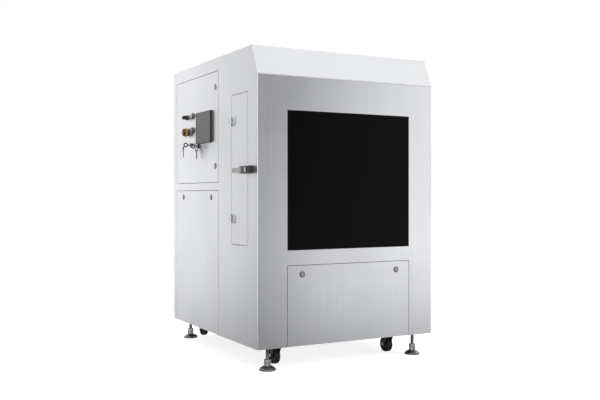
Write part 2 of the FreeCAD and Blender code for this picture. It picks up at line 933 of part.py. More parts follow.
def bezel(spot, steps, pocket_radius, bore_radius):
    """A switch's bezel and the square block behind the door, with a pocket in front and a bore behind.

    The steps are the (radius, height) of each ring of the bezel, from the door outwards.
    """
    across, up = place(spot)
    shank_end = -switch_block_length / 2
    outline = [(0, shank_end), (switch_hole_radius, shank_end)]
    wide = switch_hole_radius
    top = 0
    for radius, height in steps:
        outline += [(wide, top), (radius, top)]
        wide = radius
        top = height
    outline += [(wide, top), (0, top)]
    body = left.turned(across, up, outline, switch_sides)
    back = left.square(across, up, switch_block, (-switch_block_length, -sheet - switch_gap))
    past = top + sheet
    pocket = [(0, bezel_floor), (pocket_radius, bezel_floor), (pocket_radius, past), (0, past)]
    bore = left.hole(across, up, bore_radius, (-switch_block_length - sheet, past))
    return fuse(body, back).cut([left.turned(across, up, pocket, switch_sides), bore])


def switch_bezels():
    """Bezels of all the switches on the control door."""
    button = [(bezel_radius, bezel_height)]
    lock = [(key_bezel_radius, key_bezel_height)]
    stop = [(stop_base_radius, stop_base_height), (stop_hub_radius, stop_base_height + stop_ring_height)]
    button_pocket = bezel_radius - bezel_wall
    neck_pocket = mushroom_neck_radius + cap_gap
    key_bore = key_plug_radius + running_clearance
    return Part.makeCompound([
        bezel(start_place, button, button_pocket, switch_bore_radius),
        bezel(reset_place, button, button_pocket, switch_bore_radius),
        bezel(stop_place, stop, neck_pocket, switch_bore_radius),
        bezel(selector_place, button, switch_bore_radius, switch_bore_radius),
        bezel(upper_key_place, lock, key_bore, key_bore),
        bezel(lower_key_place, lock, key_bore, key_bore),
    ])


def stop_ring():
    """Yellow tapered ring on the stop button's base."""
    bore = stop_hub_radius + switch_gap
    low = stop_base_height
    high = stop_base_height + stop_ring_height
    outline = [(bore, low), (stop_ring_radius, low), (stop_ring_top_radius, high), (bore, high)]
    return left.turned(*place(stop_place), outline, switch_sides)


def push_cap(spot):
    """A flat push button: a cap in the bezel's pocket on a square stem."""
    across, up = place(spot)
    radius = bezel_radius - bezel_wall - cap_gap
    low = bezel_floor + cap_floor_gap
    high = bezel_height + cap_proud
    outline = [(0, low), (radius, low), (radius, high - cap_bevel), (radius - cap_bevel, high), (0, high)]
    stem = left.square(across, up, switch_stem, (-stem_length, low))
    return fuse(left.turned(across, up, outline, switch_sides), stem)


def stop_button():
    """Mushroom head on a neck and a square stem."""
    across, up = place(stop_place)
    neck_low = bezel_floor + stop_travel_gap
    low = stop_base_height + stop_ring_height + stop_travel_gap
    high = low + mushroom_height
    shoulder = mushroom_radius * mushroom_shoulder
    crown = mushroom_radius * mushroom_crown
    outline = [
        (0, neck_low), (mushroom_neck_radius, neck_low), (mushroom_neck_radius, low),
        (mushroom_radius, low), (mushroom_radius, low + mushroom_side),
        (shoulder, high - mushroom_crown_drop), (crown, high), (0, high),
    ]
    stem = left.square(across, up, switch_stem, (-stem_length, neck_low))
    return fuse(left.turned(across, up, outline, switch_sides), stem)


def selector_knob():
    """Round knob whose outer end is cut back to a grip bar, on a square stem."""
    across, up = place(selector_place)
    low = bezel_height + knob_gap
    high = low + knob_length
    outline = [(0, low), (knob_radius, low), (knob_radius, high), (0, high)]
    knob = left.turned(across, up, outline, switch_sides)
    half = knob_grip_width / 2
    past = 2 * knob_radius
    cuts = []
    for way in (-1, 1):
        beside = (across + way * half, across + way * past)
        cuts.append(left.block(beside, (up - past, up + past), (high - knob_grip_depth, high + sheet)))
    stem = left.square(across, up, switch_stem, (-stem_length, low))
    return fuse(knob, stem).cut(cuts)


def key_plate(centre, radius, thickness):
    """A flat-sided disc that faces along the cabinet's depth."""
    start = centre - ALONG_Y * (thickness / 2)
    return prism(ring_of(radius, start, ALONG_Y, key_bow_sides), ALONG_Y * thickness)


def switch_key(spot):
    """A key in its plug: a flat bow with a hole, on a short neck."""
    across, up = place(spot)
    half = key_thickness / 2
    plug = left.disc(across, up, key_plug_radius, (-key_plug_length, key_bezel_height))
    bow_out = key_bezel_height + key_neck_length + key_bow_radius
    blade_rise = (up - key_blade_width / 2, up + key_blade_width / 2)
    neck = left.block((across - half, across + half), blade_rise, (key_bezel_height, bow_out))
    bow_centre = left.point(across, up, bow_out)
    bow = key_plate(bow_centre, key_bow_radius, key_thickness)
    hole = key_plate(bow_centre, key_hole_radius, 2 * key_thickness)
    return fuse(plug, neck, bow).cut(hole), bow_centre


def ring_with_spare(hook, lean, radius, spare_play, spare_turn):
    """A ring that hangs from a hook point along a direction, and the spare key hanging on it."""
    ring_centre = hook + lean * radius
    inner = radius - key_ring_wire
    outer = radius + key_ring_wire
    section = [
        (inner, -key_ring_wire), (outer, -key_ring_wire), (outer, key_ring_wire), (inner, key_ring_wire)
    ]
    ring = turned(section, ring_centre, lean.cross(ALONG_Y), key_ring_sides)

    wire = ring_centre + lean * radius
    spare_hole = wire - UP * (spare_hole_radius - key_ring_wire - spare_play)
    spare_centre = spare_hole - UP * (spare_bow_radius - spare_hole_radius - spare_hole_wall)
    spare_bow = key_plate(spare_centre, spare_bow_radius, key_thickness)
    half = key_thickness / 2
    blade = block(
        (spare_centre.x - spare_blade_width / 2, spare_centre.x + spare_blade_width / 2),
        (spare_centre.y - half, spare_centre.y + half),
        (spare_centre.z, spare_hole.z - spare_length),
    )
    spare = fuse(spare_bow, blade).cut(key_plate(spare_hole, spare_hole_radius, 2 * key_thickness))
    spare.rotate(wire, UP, spare_turn)
    return [ring, spare]


def upper_key():
    """The upper key; its ring leans out of the hole in its bow."""
    key, bow_centre = switch_key(upper_key_place)
    angle = math.radians(upper_ring_angle)
    lean = left.outward * math.cos(angle) - UP * math.sin(angle)
    hook = bow_centre + lean * (key_hole_radius - key_ring_wire - key_ring_play)
    return Part.makeCompound(
        [key] + ring_with_spare(hook, lean, upper_ring_radius, upper_spare_play, upper_spare_turn)
    )


def lower_key():
    """The lower key; its ring hangs over its neck."""
    key, _ = switch_key(lower_key_place)
    across, up = place(lower_key_place)
    over_neck = up + key_blade_width / 2 + key_ring_wire + key_ring_play
    hook = left.point(across, over_neck, key_bezel_height + lower_ring_along_neck)
    return Part.makeCompound([key] + ring_with_spare(hook, -UP, lower_ring_radius, lower_spare_play, 0))


def side_panel():
    """Lower panel on the left side."""
    holes = [lock_hole(left, across, side_lock_height) for across in side_lock_places]
    return pan(left, side_span, side_rise).cut(holes)


def front_panel():
    """Lower panel on the front."""
    holes = [lock_hole(front, across, front_lock_height) for across in front_lock_places]
    return pan(front, front_span, front_rise).cut(holes)


def plate_outline(low, high):
    """A level plate between the posts."""
    return block(
        (left_face + sheet + post_size, right_face - sheet - post_size),
        (front_face + plate_front_inset, rear_face - plate_front_inset),
        (low, high),
    )


def vat_span(grow):
    """The vat's outer sides across X and Y, grown by a distance."""
    half = vat_width / 2 + grow
    return (middle_x - half, middle_x + half), (vat_front - grow, vat_back + grow)


def deck_plate():
    """Floor of the build chamber, with the hole that the vat hangs in."""
    hole_x, hole_y = vat_span(vat_clearance)
    return plate_outline(deck_low, deck_top).cut(block(hole_x, hole_y, (deck_low - sheet, deck_top + sheet)))


def resin_vat():
    """Open tank whose rim rests on the deck."""
    low = base_top + vat_above_base
    high = deck_top + vat_wall
    shell_x, shell_y = vat_span(0)
    rim_x, rim_y = vat_span(vat_rim)
    inner_x, inner_y = vat_span(-vat_wall)
    shell = block(shell_x, shell_y, (low, high))
    rim = block(rim_x, rim_y, (deck_top, high))
    return fuse(shell, rim).cut(block(inner_x, inner_y, (low + vat_wall, high + sheet)))


def optics_plate():
    """Stiff plate over the chamber that carries the laser and scan head, with a hole for the beam."""
    centre_y = (vat_front + vat_back) / 2
    start = FreeCAD.Vector(middle_x, centre_y, optics_low - sheet)
    beam_hole = round_hole(optics_hole / 2, start, optics_thickness + 2 * sheet, UP)
    return plate_outline(optics_low, optics_top).cut(beam_hole)


def chamber_walls():
    """Left, right and back walls of the chamber; the left one has a port at the inspection door."""
    half = chamber_width / 2
    rise = (deck_top, optics_low)
    depth = (chamber_front, chamber_back)
    left_wall = block((middle_x - half - sheet, middle_x - half), depth, rise)
    port_low = bottom_edge + inspection_bottom + port_inset
    port = block(
        (middle_x - half - 2 * sheet, middle_x - half + sheet),
        (front_face + inspection_front + port_inset, front_face + inspection_rear - port_inset),
        (port_low, port_low + port_height),
    )
    right_wall = block((middle_x + half, middle_x + half + sheet), depth, rise)
    back_wall = block((middle_x - half, middle_x + half), (chamber_back - sheet, chamber_back), rise)
    return Part.makeCompound([left_wall.cut(port), right_wall, back_wall])


wall_front = chamber_back - sheet
screw_y = column_front - screw_from_column
screw_top = optics_low - motor_height
bearing_low = deck_top + bearing_rise
rail_low = bearing_low + bearing_height
rail_high = screw_top - z_rail_end


def z_column():
    """Upright beam behind the vat, with a bearing block at its foot and a motor shelf at its head."""
    half = column_width / 2
    beam = block((middle_x - half, middle_x + half), (column_front, wall_front), (deck_top, optics_low))
    shelf_half = bearing_width / 2
    ends = []
    for low in (bearing_low, screw_top - bearing_height):
        ends.append(block(
            (middle_x - shelf_half, middle_x + shelf_half), (screw_y - shelf_half, column_front),
            (low, low + bearing_height),
        ))
    bore_start = FreeCAD.Vector(middle_x, screw_y, bearing_low + sheet)
    bore = round_hole(screw_radius + running_clearance, bore_start, screw_top - bearing_low, UP)
    return fuse(beam, *ends).cut(bore)


def z_screw():
    """Ball screw between the foot bearing and the motor."""
    start = FreeCAD.Vector(middle_x, screw_y, bearing_low + sheet + seam)
    return rod(screw_radius, start, screw_top - start.z, UP)


def z_motor():
    """Square motor on the column's shelf, with bevelled corners."""
    half = motor_size / 2
    body = block(
        (middle_x - half, middle_x + half), (column_front - motor_size, column_front), (screw_top, optics_low)
    )
    return bevelled(body, motor_bevel, UP)


def linear_rails():
    """Two upright rails on the column and two level rails beside the vat."""
    half = rail_width / 2
    rails = []
    for way in (-1, 1):
        x = middle_x + way * z_rail_spacing / 2
        span_y = (column_front - rail_height, column_front)
        rails.append(block((x - half, x + half), span_y, (rail_low, rail_high)))
    for way in (-1, 1):
        x = middle_x + way * recoater_rail_spacing / 2
        span_y = (chamber_front + recoater_rail_start, column_front)
        rails.append(block((x - half, x + half), span_y, (deck_top, deck_top + rail_height)))
    return Part.makeCompound(rails)


def z_carriage():
    """Lifting carriage: plate, four guide blocks on the rails, the screw's nut and two hangers."""
    plate_back = carriage_front + carriage_plate
    half = carriage_width / 2
    high = carriage_low + carriage_height
    plate = block((middle_x - half, middle_x + half), (carriage_front, plate_back), (carriage_low, high))
    pieces = []
    guide_back = column_front - rail_gap * 2
    for way in (-1, 1):
        x = middle_x + way * z_rail_spacing / 2
        wide = (x - guide_width / 2, x + guide_width / 2)
        for low in (carriage_low, high - guide_height):
            pieces.append(block(wide, (plate_back, guide_back), (low, low + guide_height)))
    nut_low = carriage_low + (carriage_height - nut_height) / 2
    pieces.append(block(
        (middle_x - nut_width / 2, middle_x + nut_width / 2), (plate_back, guide_back),
        (nut_low, nut_low + nut_height),
    ))
    hanger_low = platform_low + platform_thickness
    for way in (-1, 1):
        x = middle_x + way * hanger_spacing / 2
        pieces.append(block(
            (x - hanger_plate / 2, x + hanger_plate / 2), (carriage_front - hanger_depth, carriage_front),
            (hanger_low, high),
        ))
    body = fuse(plate, *pieces)
    cuts = [round_hole(
        screw_radius + running_clearance, FreeCAD.Vector(middle_x, screw_y, carriage_low - sheet),
        carriage_height + 2 * sheet, UP,
    )]
    for way in (-1, 1):
        x = middle_x + way * z_rail_spacing / 2
        cuts.append(block(
            (x - rail_width / 2 - rail_gap, x + rail_width / 2 + rail_gap),
            (column_front - rail_height - rail_gap, column_front),
            (carriage_low - sheet, high + sheet),
        ))
    return body.cut(cuts)


def build_platform():
    """Flat plate with a grid of square drain holes, carried by the hangers."""
    half = platform_size / 2
    low_y = platform_back - platform_size
    rise = (platform_low, platform_low + platform_thickness)
    plate = block((middle_x - half, middle_x + half), (low_y, platform_back), rise)
    pitch = (platform_size - 2 * platform_edge) / (platform_holes_per_side - 1)
    corner = platform_edge - platform_hole / 2
    first = FreeCAD.Vector(middle_x - half + corner, low_y + corner, platform_low - sheet)
    holes = []
    for column in range(platform_holes_per_side):
        for row in range(platform_holes_per_side):
            start = first + ALONG_X * (column * pitch) + ALONG_Y * (row * pitch)
            holes.append(Part.makeBox(platform_hole, platform_hole, platform_thickness + 2 * sheet, start))
    return plate.cut(holes)


recoater_front = chamber_front + recoater_rail_start + recoater_rest
recoater_low = deck_top + rail_height + rail_gap


def recoater():
    """Beam over the vat on two guide feet, and the blade under it."""
    depth = (recoater_front, recoater_front + recoater_depth)
    rise = (recoater_low, recoater_low + recoater_height)
    beam = block((middle_x - recoater_half, middle_x + recoater_half), depth, rise)
    beam = bevelled(beam, housing_bevel, ALONG_X)
    feet = []
    for way in (-1, 1):
        x = middle_x + way * recoater_rail_spacing / 2
        wide = (x - recoater_foot / 2, x + recoater_foot / 2)
        foot = block(wide, depth, (deck_top + vat_wall + blade_gap, recoater_low + recoater_foot / 2))
        over_rail = (x - rail_width / 2 - rail_gap, x + rail_width / 2 + rail_gap)
        groove = block(over_rail, (depth[0] - sheet, depth[1] + sheet), (deck_top, recoater_low))
        feet.append(foot.cut(groove))
    middle_y = recoater_front + recoater_depth / 2
    blade = block(
        (middle_x - blade_width / 2, middle_x + blade_width / 2),
        (middle_y - blade_thickness / 2, middle_y + blade_thickness / 2),
        (deck_top + vat_wall + blade_gap, recoater_low),
    )
    return Part.makeCompound([fuse(beam, *feet), blade])


def on_optics(size, low_y):
    """A box of (width, depth, height) on the optics plate, centred across the cabinet."""
    width, depth, height = size
    across = (middle_x - width / 2, middle_x + width / 2)
    return block(across, (low_y, low_y + depth), (optics_top, optics_top + height))


scan_low_y = (vat_front + vat_back - scan_head_size[1]) / 2


def scan_head():
    """Mirror scanner over the beam hole, with its round nose in the hole."""
    box = bevelled(on_optics(scan_head_size, scan_low_y), housing_bevel, UP)
    centre = FreeCAD.Vector(middle_x, (vat_front + vat_back) / 2, optics_top - scan_nose_length)
    return fuse(box, rod(scan_nose_radius, centre, scan_nose_length, UP))


def laser_head():
    """Laser behind the scan head."""
    box = on_optics(laser_size, scan_low_y + scan_head_size[1] + laser_gap)
    return bevelled(box, housing_bevel, ALONG_X)


def control_units():
    """Mounting plate outside the chamber's left wall with the computer and the drives on it."""
    wall_x = middle_x - chamber_width / 2 - sheet
    plate_x = wall_x - unit_plate
    low_y = chamber_back - computer_size[1] - unit_spacing
    low_z = optics_low - unit_spacing - computer_size[2] - unit_spacing - drive_size[2]
    computer_z = low_z + drive_size[2] + unit_spacing
    rise = (low_z - unit_spacing / 2, computer_z + computer_size[2] + unit_spacing / 2)
    units = [block((plate_x, wall_x), (low_y, chamber_back), rise)]
    start_y = low_y + unit_spacing / 2
    fitted = [(computer_size, start_y, computer_z)]
    for count in range(drive_count):
        fitted.append((drive_size, start_y + count * drive_pitch, low_z))
    for size, y, z in fitted:
        depth, width, height = size
        units.append(block((plate_x - depth, plate_x), (y, y + width), (z, z + height)))
    return Part.makeCompound(units)


def foot_places():
    """Name, X and Y of each levelling foot."""
    return [
        ("front_left", left_face + foot_from_side, front_face + foot_from_front),
        ("front_right", right_face - foot_from_side, front_face + foot_from_front),
        ("rear_left", left_face + foot_from_side, rear_face - foot_from_rear),
        ("rear_right", right_face - foot_from_side, rear_face - foot_from_rear),
    ]


def caster_places():
    """Name, X and Y of each caster's swivel axis."""
    return [
        ("front_left", left_face + caster_from_side, front_face + caster_from_front),
        ("front_right", right_face - caster_from_side, front_face + caster_from_front),
        ("rear_left", left_face + caster_from_side, rear_face - caster_from_rear),
        ("rear_right", right_face - caster_from_side, rear_face - caster_from_rear),
    ]


def levelling_foot(x, y):
    """Bell-shaped pad with its collar, and the stem with its lock nut."""
    floor = FreeCAD.Vector(x, y, 0)
    bell_top = foot_sole_height + foot_bell_height
    collar_top = bell_top + foot_collar_height
    shoulder = (foot_pad_radius + foot_collar_radius) / 2
    outline = [
        (0, 0), (foot_pad_radius, 0), (foot_pad_radius, foot_sole_height),
        (shoulder, (foot_sole_height + bell_top) / 2 + foot_bell_bulge), (foot_collar_radius, bell_top),
        (foot_collar_radius, collar_top), (0, collar_top),
    ]
    pad = turned(outline, floor, UP, foot_sides)
    nut = hexagon(foot_nut_across, floor + UP * collar_top, foot_nut_height)
    stem_top = base_top - base_wall - foot_stem_top_gap
    stem = rod(foot_stem_radius, floor + UP * collar_top, stem_top - collar_top, UP)
    return Part.makeCompound([pad, fuse(nut, stem)])


caster_plate_low = base_low - caster_plate_height
fork_top = caster_plate_low - caster_boss_height - caster_gap
wheel_height = wheel_radius + wheel_floor_gap


def caster_plates():
    """Top plates of the casters, each with its swivel boss, kingpin and the head that holds the fork."""
    plates = []
    for _, x, y in caster_places():
        plate = block(
            (x - caster_plate_width / 2, x + caster_plate_width / 2),
            (y - caster_plate_depth / 2, y + caster_plate_depth / 2),
            (caster_plate_low, base_low),
        )
        boss_start = FreeCAD.Vector(x, y, caster_plate_low - caster_boss_height)
        boss = rod(caster_boss_radius, boss_start, caster_boss_height, UP)
        pin_low = fork_top - fork_plate - caster_gap
        pin = rod(caster_kingpin_radius, FreeCAD.Vector(x, y, pin_low), caster_plate_low - pin_low, UP)
        head_start = FreeCAD.Vector(x, y, pin_low - kingpin_head_height)
        head = hexagon(kingpin_head_across, head_start, kingpin_head_height)
        plates.append(fuse(plate, boss, pin, head))
    return Part.makeCompound(plates)


def caster_fork(x, y):
    """Fork with two slanted legs and the wheel's axle between them."""
    half = wheel_width / 2 + wheel_side_gap
    axle_y = y + caster_trail
    legs = []
    for way in (-1, 1):
        inner = x + way * half
        leg = [
            (y - fork_leg_width / 2, fork_top), (y + fork_leg_width / 2, fork_top),
            (axle_y + wheel_hub_radius, wheel_height), (axle_y, wheel_height - wheel_hub_radius),
            (axle_y - wheel_hub_radius, wheel_height),
        ]
        points = [FreeCAD.Vector(inner, depth, height) for depth, height in leg]
        legs.append(prism(points, ALONG_X * way * fork_plate))
    bridge = block(
        (x - half - fork_plate, x + half + fork_plate), (y - fork_leg_width / 2, y + fork_leg_width / 2),
        (fork_top - fork_plate, fork_top),
    )
    axle_start = FreeCAD.Vector(x - half - fork_plate, axle_y, wheel_height)
    axle = rod(axle_radius, axle_start, 2 * (half + fork_plate), ALONG_X)
    hole_start = FreeCAD.Vector(x, y, fork_top - 2 * fork_plate)
    kingpin_hole = round_hole(caster_kingpin_radius + running_clearance, hole_start, 3 * fork_plate, UP)
    return fuse(bridge, *legs, axle).cut(kingpin_hole)


def caster_wheel(x, y):
    """Wheel with a shouldered tread, a grooved web and a hub, bored for the axle."""
    centre = FreeCAD.Vector(x, y + caster_trail, wheel_height)
    half = wheel_width / 2
    rim_radius = wheel_radius - tread_depth
    side = [(0, half), (wheel_hub_radius, half), (wheel_groove_radius, half - wheel_dish), (rim_radius, half)]
    side.append((wheel_radius, half - tread_shoulder))
    outline = [(radius, -out) for radius, out in side] + side[::-1]
    bore = round_hole(axle_radius + running_clearance, centre - ALONG_X * half, wheel_width, ALONG_X)
    return turned(outline, centre, ALONG_X, wheel_sides).cut(bore)


def build_pieces():
    """Every piece by its node's name."""
    made = {
        "front_fascia": front_fascia(),
        "hood": hood(),
        "left_skin": left_skin(),
        "right_skin": right_skin(),
        "rear_panel": rear_panel(),
        "base_frame": base_frame(),
        "frame_posts": frame_posts(),
        "door_hinges": door_hinges(),
        "window_pane": window_pane(),
        "window_frame": window_frame(),
        "inspection_door": pan(left, inspection_span, inspection_rise),
        "inspection_leaves": inspection_leaves(),
        "latch_body": latch_body(),
        "latch_lever": latch_lever(),
        "control_door": control_door(),
        "screen_housing": screen_housing(),
        "screen_glass": screen_glass(),
        "switch_bezels": switch_bezels(),
        "stop_ring": stop_ring(),
        "stop_button": stop_button(),
        "start_button": push_cap(start_place),
        "reset_button": push_cap(reset_place),
        "selector_knob": selector_knob(),
        "upper_key": upper_key(),
        "lower_key": lower_key(),
        "control_lock_lower": quarter_turn_lock(left, control_lock_across, control_lock_heights[0], 0, -1),
        "control_lock_upper": quarter_turn_lock(left, control_lock_across, control_lock_heights[1], 0, -1),
        "side_panel": side_panel(),
        "side_lock_front": quarter_turn_lock(left, side_lock_places[0], side_lock_height, -1, 0),
        "side_lock_rear": quarter_turn_lock(left, side_lock_places[1], side_lock_height, -1, 0),
        "front_panel": front_panel(),
        "front_lock_left": quarter_turn_lock(front, front_lock_places[0], front_lock_height, 1, 0),
        "front_lock_right": quarter_turn_lock(front, front_lock_places[1], front_lock_height, 1, 0),
        "deck_plate": deck_plate(),
        "resin_vat": resin_vat(),
        "optics_plate": optics_plate(),
        "chamber_walls": chamber_walls(),
        "z_column": z_column(),
        "z_screw": z_screw(),
        "z_motor": z_motor(),
        "linear_rails": linear_rails(),
        "z_carriage": z_carriage(),
        "build_platform": build_platform(),
        "recoater": recoater(),
        "scan_head": scan_head(),
        "laser_head": laser_head(),
        "control_units": control_units(),
        "caster_plates": caster_plates(),
    }
    for name, x, y in foot_places():
        made["foot_" + name] = levelling_foot(x, y)
    for name, x, y in caster_places():
        made["caster_fork_" + name] = caster_fork(x, y)
        made["caster_wheel_" + name] = caster_wheel(x, y)
    return made


os.makedirs("parts", exist_ok=True)
for node, shape in build_pieces().items():
    shape.exportStep("parts/" + node + ".step")
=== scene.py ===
"""Finishes, small trim, studio and camera for a floor-standing laser resin printer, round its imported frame.

Metres, in the frame's own axes: +Z up, the front faces -Y and the controls are on the -X side.
"""
import json
import logging
import math
from dataclasses import dataclass
from enum import Enum
from typing import Any, Mapping, Sequence

import bmesh
import bpy
from mathutils import Euler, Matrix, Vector


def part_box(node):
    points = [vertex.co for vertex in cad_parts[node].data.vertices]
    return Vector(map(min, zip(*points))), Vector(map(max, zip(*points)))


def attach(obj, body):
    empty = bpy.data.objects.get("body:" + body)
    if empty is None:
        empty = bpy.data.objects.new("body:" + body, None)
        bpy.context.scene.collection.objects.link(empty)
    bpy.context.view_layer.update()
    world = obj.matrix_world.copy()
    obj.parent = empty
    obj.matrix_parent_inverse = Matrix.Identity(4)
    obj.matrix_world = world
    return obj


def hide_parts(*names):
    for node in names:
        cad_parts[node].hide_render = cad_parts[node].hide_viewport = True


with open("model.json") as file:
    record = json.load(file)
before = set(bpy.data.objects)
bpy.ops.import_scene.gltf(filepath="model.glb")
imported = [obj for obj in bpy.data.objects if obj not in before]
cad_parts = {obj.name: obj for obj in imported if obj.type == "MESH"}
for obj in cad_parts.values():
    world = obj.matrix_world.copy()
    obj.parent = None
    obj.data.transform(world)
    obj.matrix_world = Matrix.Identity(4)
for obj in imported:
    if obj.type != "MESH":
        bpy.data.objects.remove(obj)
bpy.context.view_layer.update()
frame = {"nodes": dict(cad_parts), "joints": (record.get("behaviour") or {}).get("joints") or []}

LOG = logging.getLogger("resin_printer")

Colour = tuple[float, float, float]
Point = tuple[float, float, float]
Span = tuple[float, float]
Profile = Sequence[tuple[float, float]]

WHITE: Colour = (1.0, 1.0, 1.0)


class Signal:
    """A node's output that can be used in arithmetic, each step of which adds a Math node."""

    def __init__(self, sheet: "NodeSheet", socket: bpy.types.NodeSocket) -> None:
        """Keep the output and the sheet of nodes that it is on."""
        self.sheet = sheet
        self.socket = socket

    def __add__(self, other: "Signal | float") -> "Signal":
        """This value plus another."""
        return self.sheet.maths("ADD", self, other)

    __radd__ = __add__

    def __sub__(self, other: "Signal | float") -> "Signal":
        """This value less another."""
        return self.sheet.maths("SUBTRACT", self, other)

    def __rsub__(self, other: float) -> "Signal":
        """A number less this value."""
        return self.sheet.maths("SUBTRACT", other, self)

    def __mul__(self, other: "Signal | float") -> "Signal":
        """This value times another."""
        return self.sheet.maths("MULTIPLY", self, other)

    __rmul__ = __mul__

    def __lt__(self, other: "Signal | float") -> "Signal":
        """One where this value is the smaller, else zero."""
        return self.sheet.maths("LESS_THAN", self, other)

    def swing(self, spread: float) -> "Signal":
        """A value from 0 to 1 as a swing about zero, this much from end to end."""
        return spread * (self - 0.5)


class NodeSheet:
    """The nodes of one material or world, emptied and filled again.

    A Mix node has sockets for every kind of value. The three numbers are those of its colours.
    """

    LOW_COLOUR = 6
    HIGH_COLOUR = 7
    MIXED_COLOUR = 2

    def __init__(self, tree: bpy.types.NodeTree) -> None:
        """Empty the tree."""
        self.tree = tree
        tree.nodes.clear()

    def node(
        self,
        kind: str,
        settings: Mapping[str, Any] | None = None,
        sockets: Mapping[str | int, Any] | None = None,
        output: str | int = 0,
    ) -> Signal:
        """Add one node.

        Args:
            kind: The node's type.
            settings: The node's own settings, which are set first; "stops" are a colour ramp's.
            sockets: A value or a signal for each input, by name or number.
            output: The output to hand back, by name or number.

        Returns:
            The chosen output, or the first input of a node that has no outputs.
        """
        made = self.tree.nodes.new(kind)
        for name, value in (settings or {}).items():
            if name == "stops":
                self._set_stops(made.color_ramp, value)
            else:
                setattr(made, name, value)
        for key, value in (sockets or {}).items():
            if isinstance(value, Signal):
                self.tree.links.new(value.socket, made.inputs[key])
            else:
                made.inputs[key].default_value = value
        return Signal(self, made.outputs[output]) if made.outputs else Signal(self, made.inputs[0])

    @staticmethod
    def _set_stops(ramp: bpy.types.ColorRamp, stops: Profile) -> None:
        """Give a ramp its grey stops.

        Args:
            ramp: The colour ramp.
            stops: Two or more stops as (place, grey).
        """
        while len(ramp.elements) < len(stops):
            ramp.elements.new(1.0)
        for element, (place, grey) in zip(ramp.elements, stops):
            element.position = place
            element.color = opaque((grey, grey, grey))

    def maths(self, operation: str, first: Signal | float, second: Signal | float) -> Signal:
        """One Math node on two values."""
        return self.node("ShaderNodeMath", {"operation": operation}, {0: first, 1: second})

    def place(self) -> Signal:
        """Where a point is on its piece at rest, in the frame's axes, so that it moves with the piece."""
        return self.node("ShaderNodeTexCoord", output="Object")

    def axis(self, name: str) -> Signal:
        """One coordinate of the place: X, Y or Z."""
        return self.node("ShaderNodeSeparateXYZ", sockets={0: self.place()}, output=name)

    def stretched(self, scale: Point) -> Signal:
        """The place, scaled differently along each axis."""
        return self.node("ShaderNodeMapping", sockets={"Vector": self.place(), "Scale": scale})

    def noise(self, scale: float, detail: float, stretch: Point = (1.0, 1.0, 1.0)) -> Signal:
        """Soft noise from 0 to 1, by its patches per metre, finer layers and a factor along each axis."""
        sockets = {"Vector": self.stretched(stretch), "Scale": scale, "Detail": detail}
        return self.node("ShaderNodeTexNoise", sockets=sockets)

    def ramp(self, value: Signal, stops: Profile) -> Signal:
        """A value put through grey stops as (place, grey)."""
        return self.node("ShaderNodeValToRGB", {"stops": stops}, {0: value})

    def between(self, value: Signal, low: float, high: float) -> Signal:
        """A value as 0 at the low end of a range, 1 at its high end and straight between, clamped."""
        sockets = {"Value": value, "From Min": low, "From Max": high}
        return self.node("ShaderNodeMapRange", {"clamp": True}, sockets)

    def mix_colour(self, factor: Signal | float, low: Colour | Signal, high: Colour | Signal) -> Signal:
        """A colour between two others."""
        sockets = {0: factor, self.LOW_COLOUR: opaque(low), self.HIGH_COLOUR: opaque(high)}
        return self.node("ShaderNodeMix", {"data_type": "RGBA"}, sockets, output=self.MIXED_COLOUR)

    def toned(self, factor: Signal, colour: Colour, tones: Span) -> Signal:
        """A colour between a darker and a paler tone of itself, each given as a factor on it."""
        return self.mix_colour(factor, shade(colour, tones[0]), shade(colour, tones[1]))

    def bump(self, height: Signal, depth: float, strength: float) -> Signal:
        """A normal that follows a height from 0 to 1, this many metres deep."""
        sockets = {"Height": height, "Distance": depth, "Strength": strength}
        return self.node("ShaderNodeBump", sockets=sockets)

    def surface(self, **sockets: Any) -> None:
        """Finish a material with a principled shader.

        Args:
            sockets: A value or a signal for each of its inputs, with _ for a space in the input's name.
        """
        named = {name.replace("_", " "): value for name, value in sockets.items()}
        shader = self.node("ShaderNodeBsdfPrincipled", sockets=named)
        self.node("ShaderNodeOutputMaterial", sockets={"Surface": shader})


def opaque(colour: Colour | Signal) -> tuple[float, float, float, float] | Signal:
    """A colour with full alpha; a signal stays as it is."""
    return colour if isinstance(colour, Signal) else (*colour, 1.0)


def shade(colour: Colour, factor: float) -> Colour:
    """A colour made lighter or darker by a factor."""
    return tuple(min(1.0, channel * factor) for channel in colour)


class Grain(Enum):
    """The way that a brushed sheet's grain runs, as noise scales along X, Y and Z."""

    UPRIGHT = (1.0, 1.0, 0.012)
    LEVEL_ACROSS = (0.012, 1.0, 1.0)
    LEVEL_BACK = (1.0, 0.012, 1.0)


class Finish:
    """A look that pieces can be given."""

    name: str

    def paint(self, sheet: NodeSheet) -> None:
        """Add this finish's nodes to a material's empty sheet."""
        raise NotImplementedError

    def material(self) -> bpy.types.Material:
        """Make the material, the first time it is asked for.

        Returns:
            The finish as a material.
        """
        title = self.name + "_finish"
        made = bpy.data.materials.get(title)
        if made is None:
            made = bpy.data.materials.new(title)
            made.use_nodes = True
            self.paint(NodeSheet(made.node_tree))
        return made


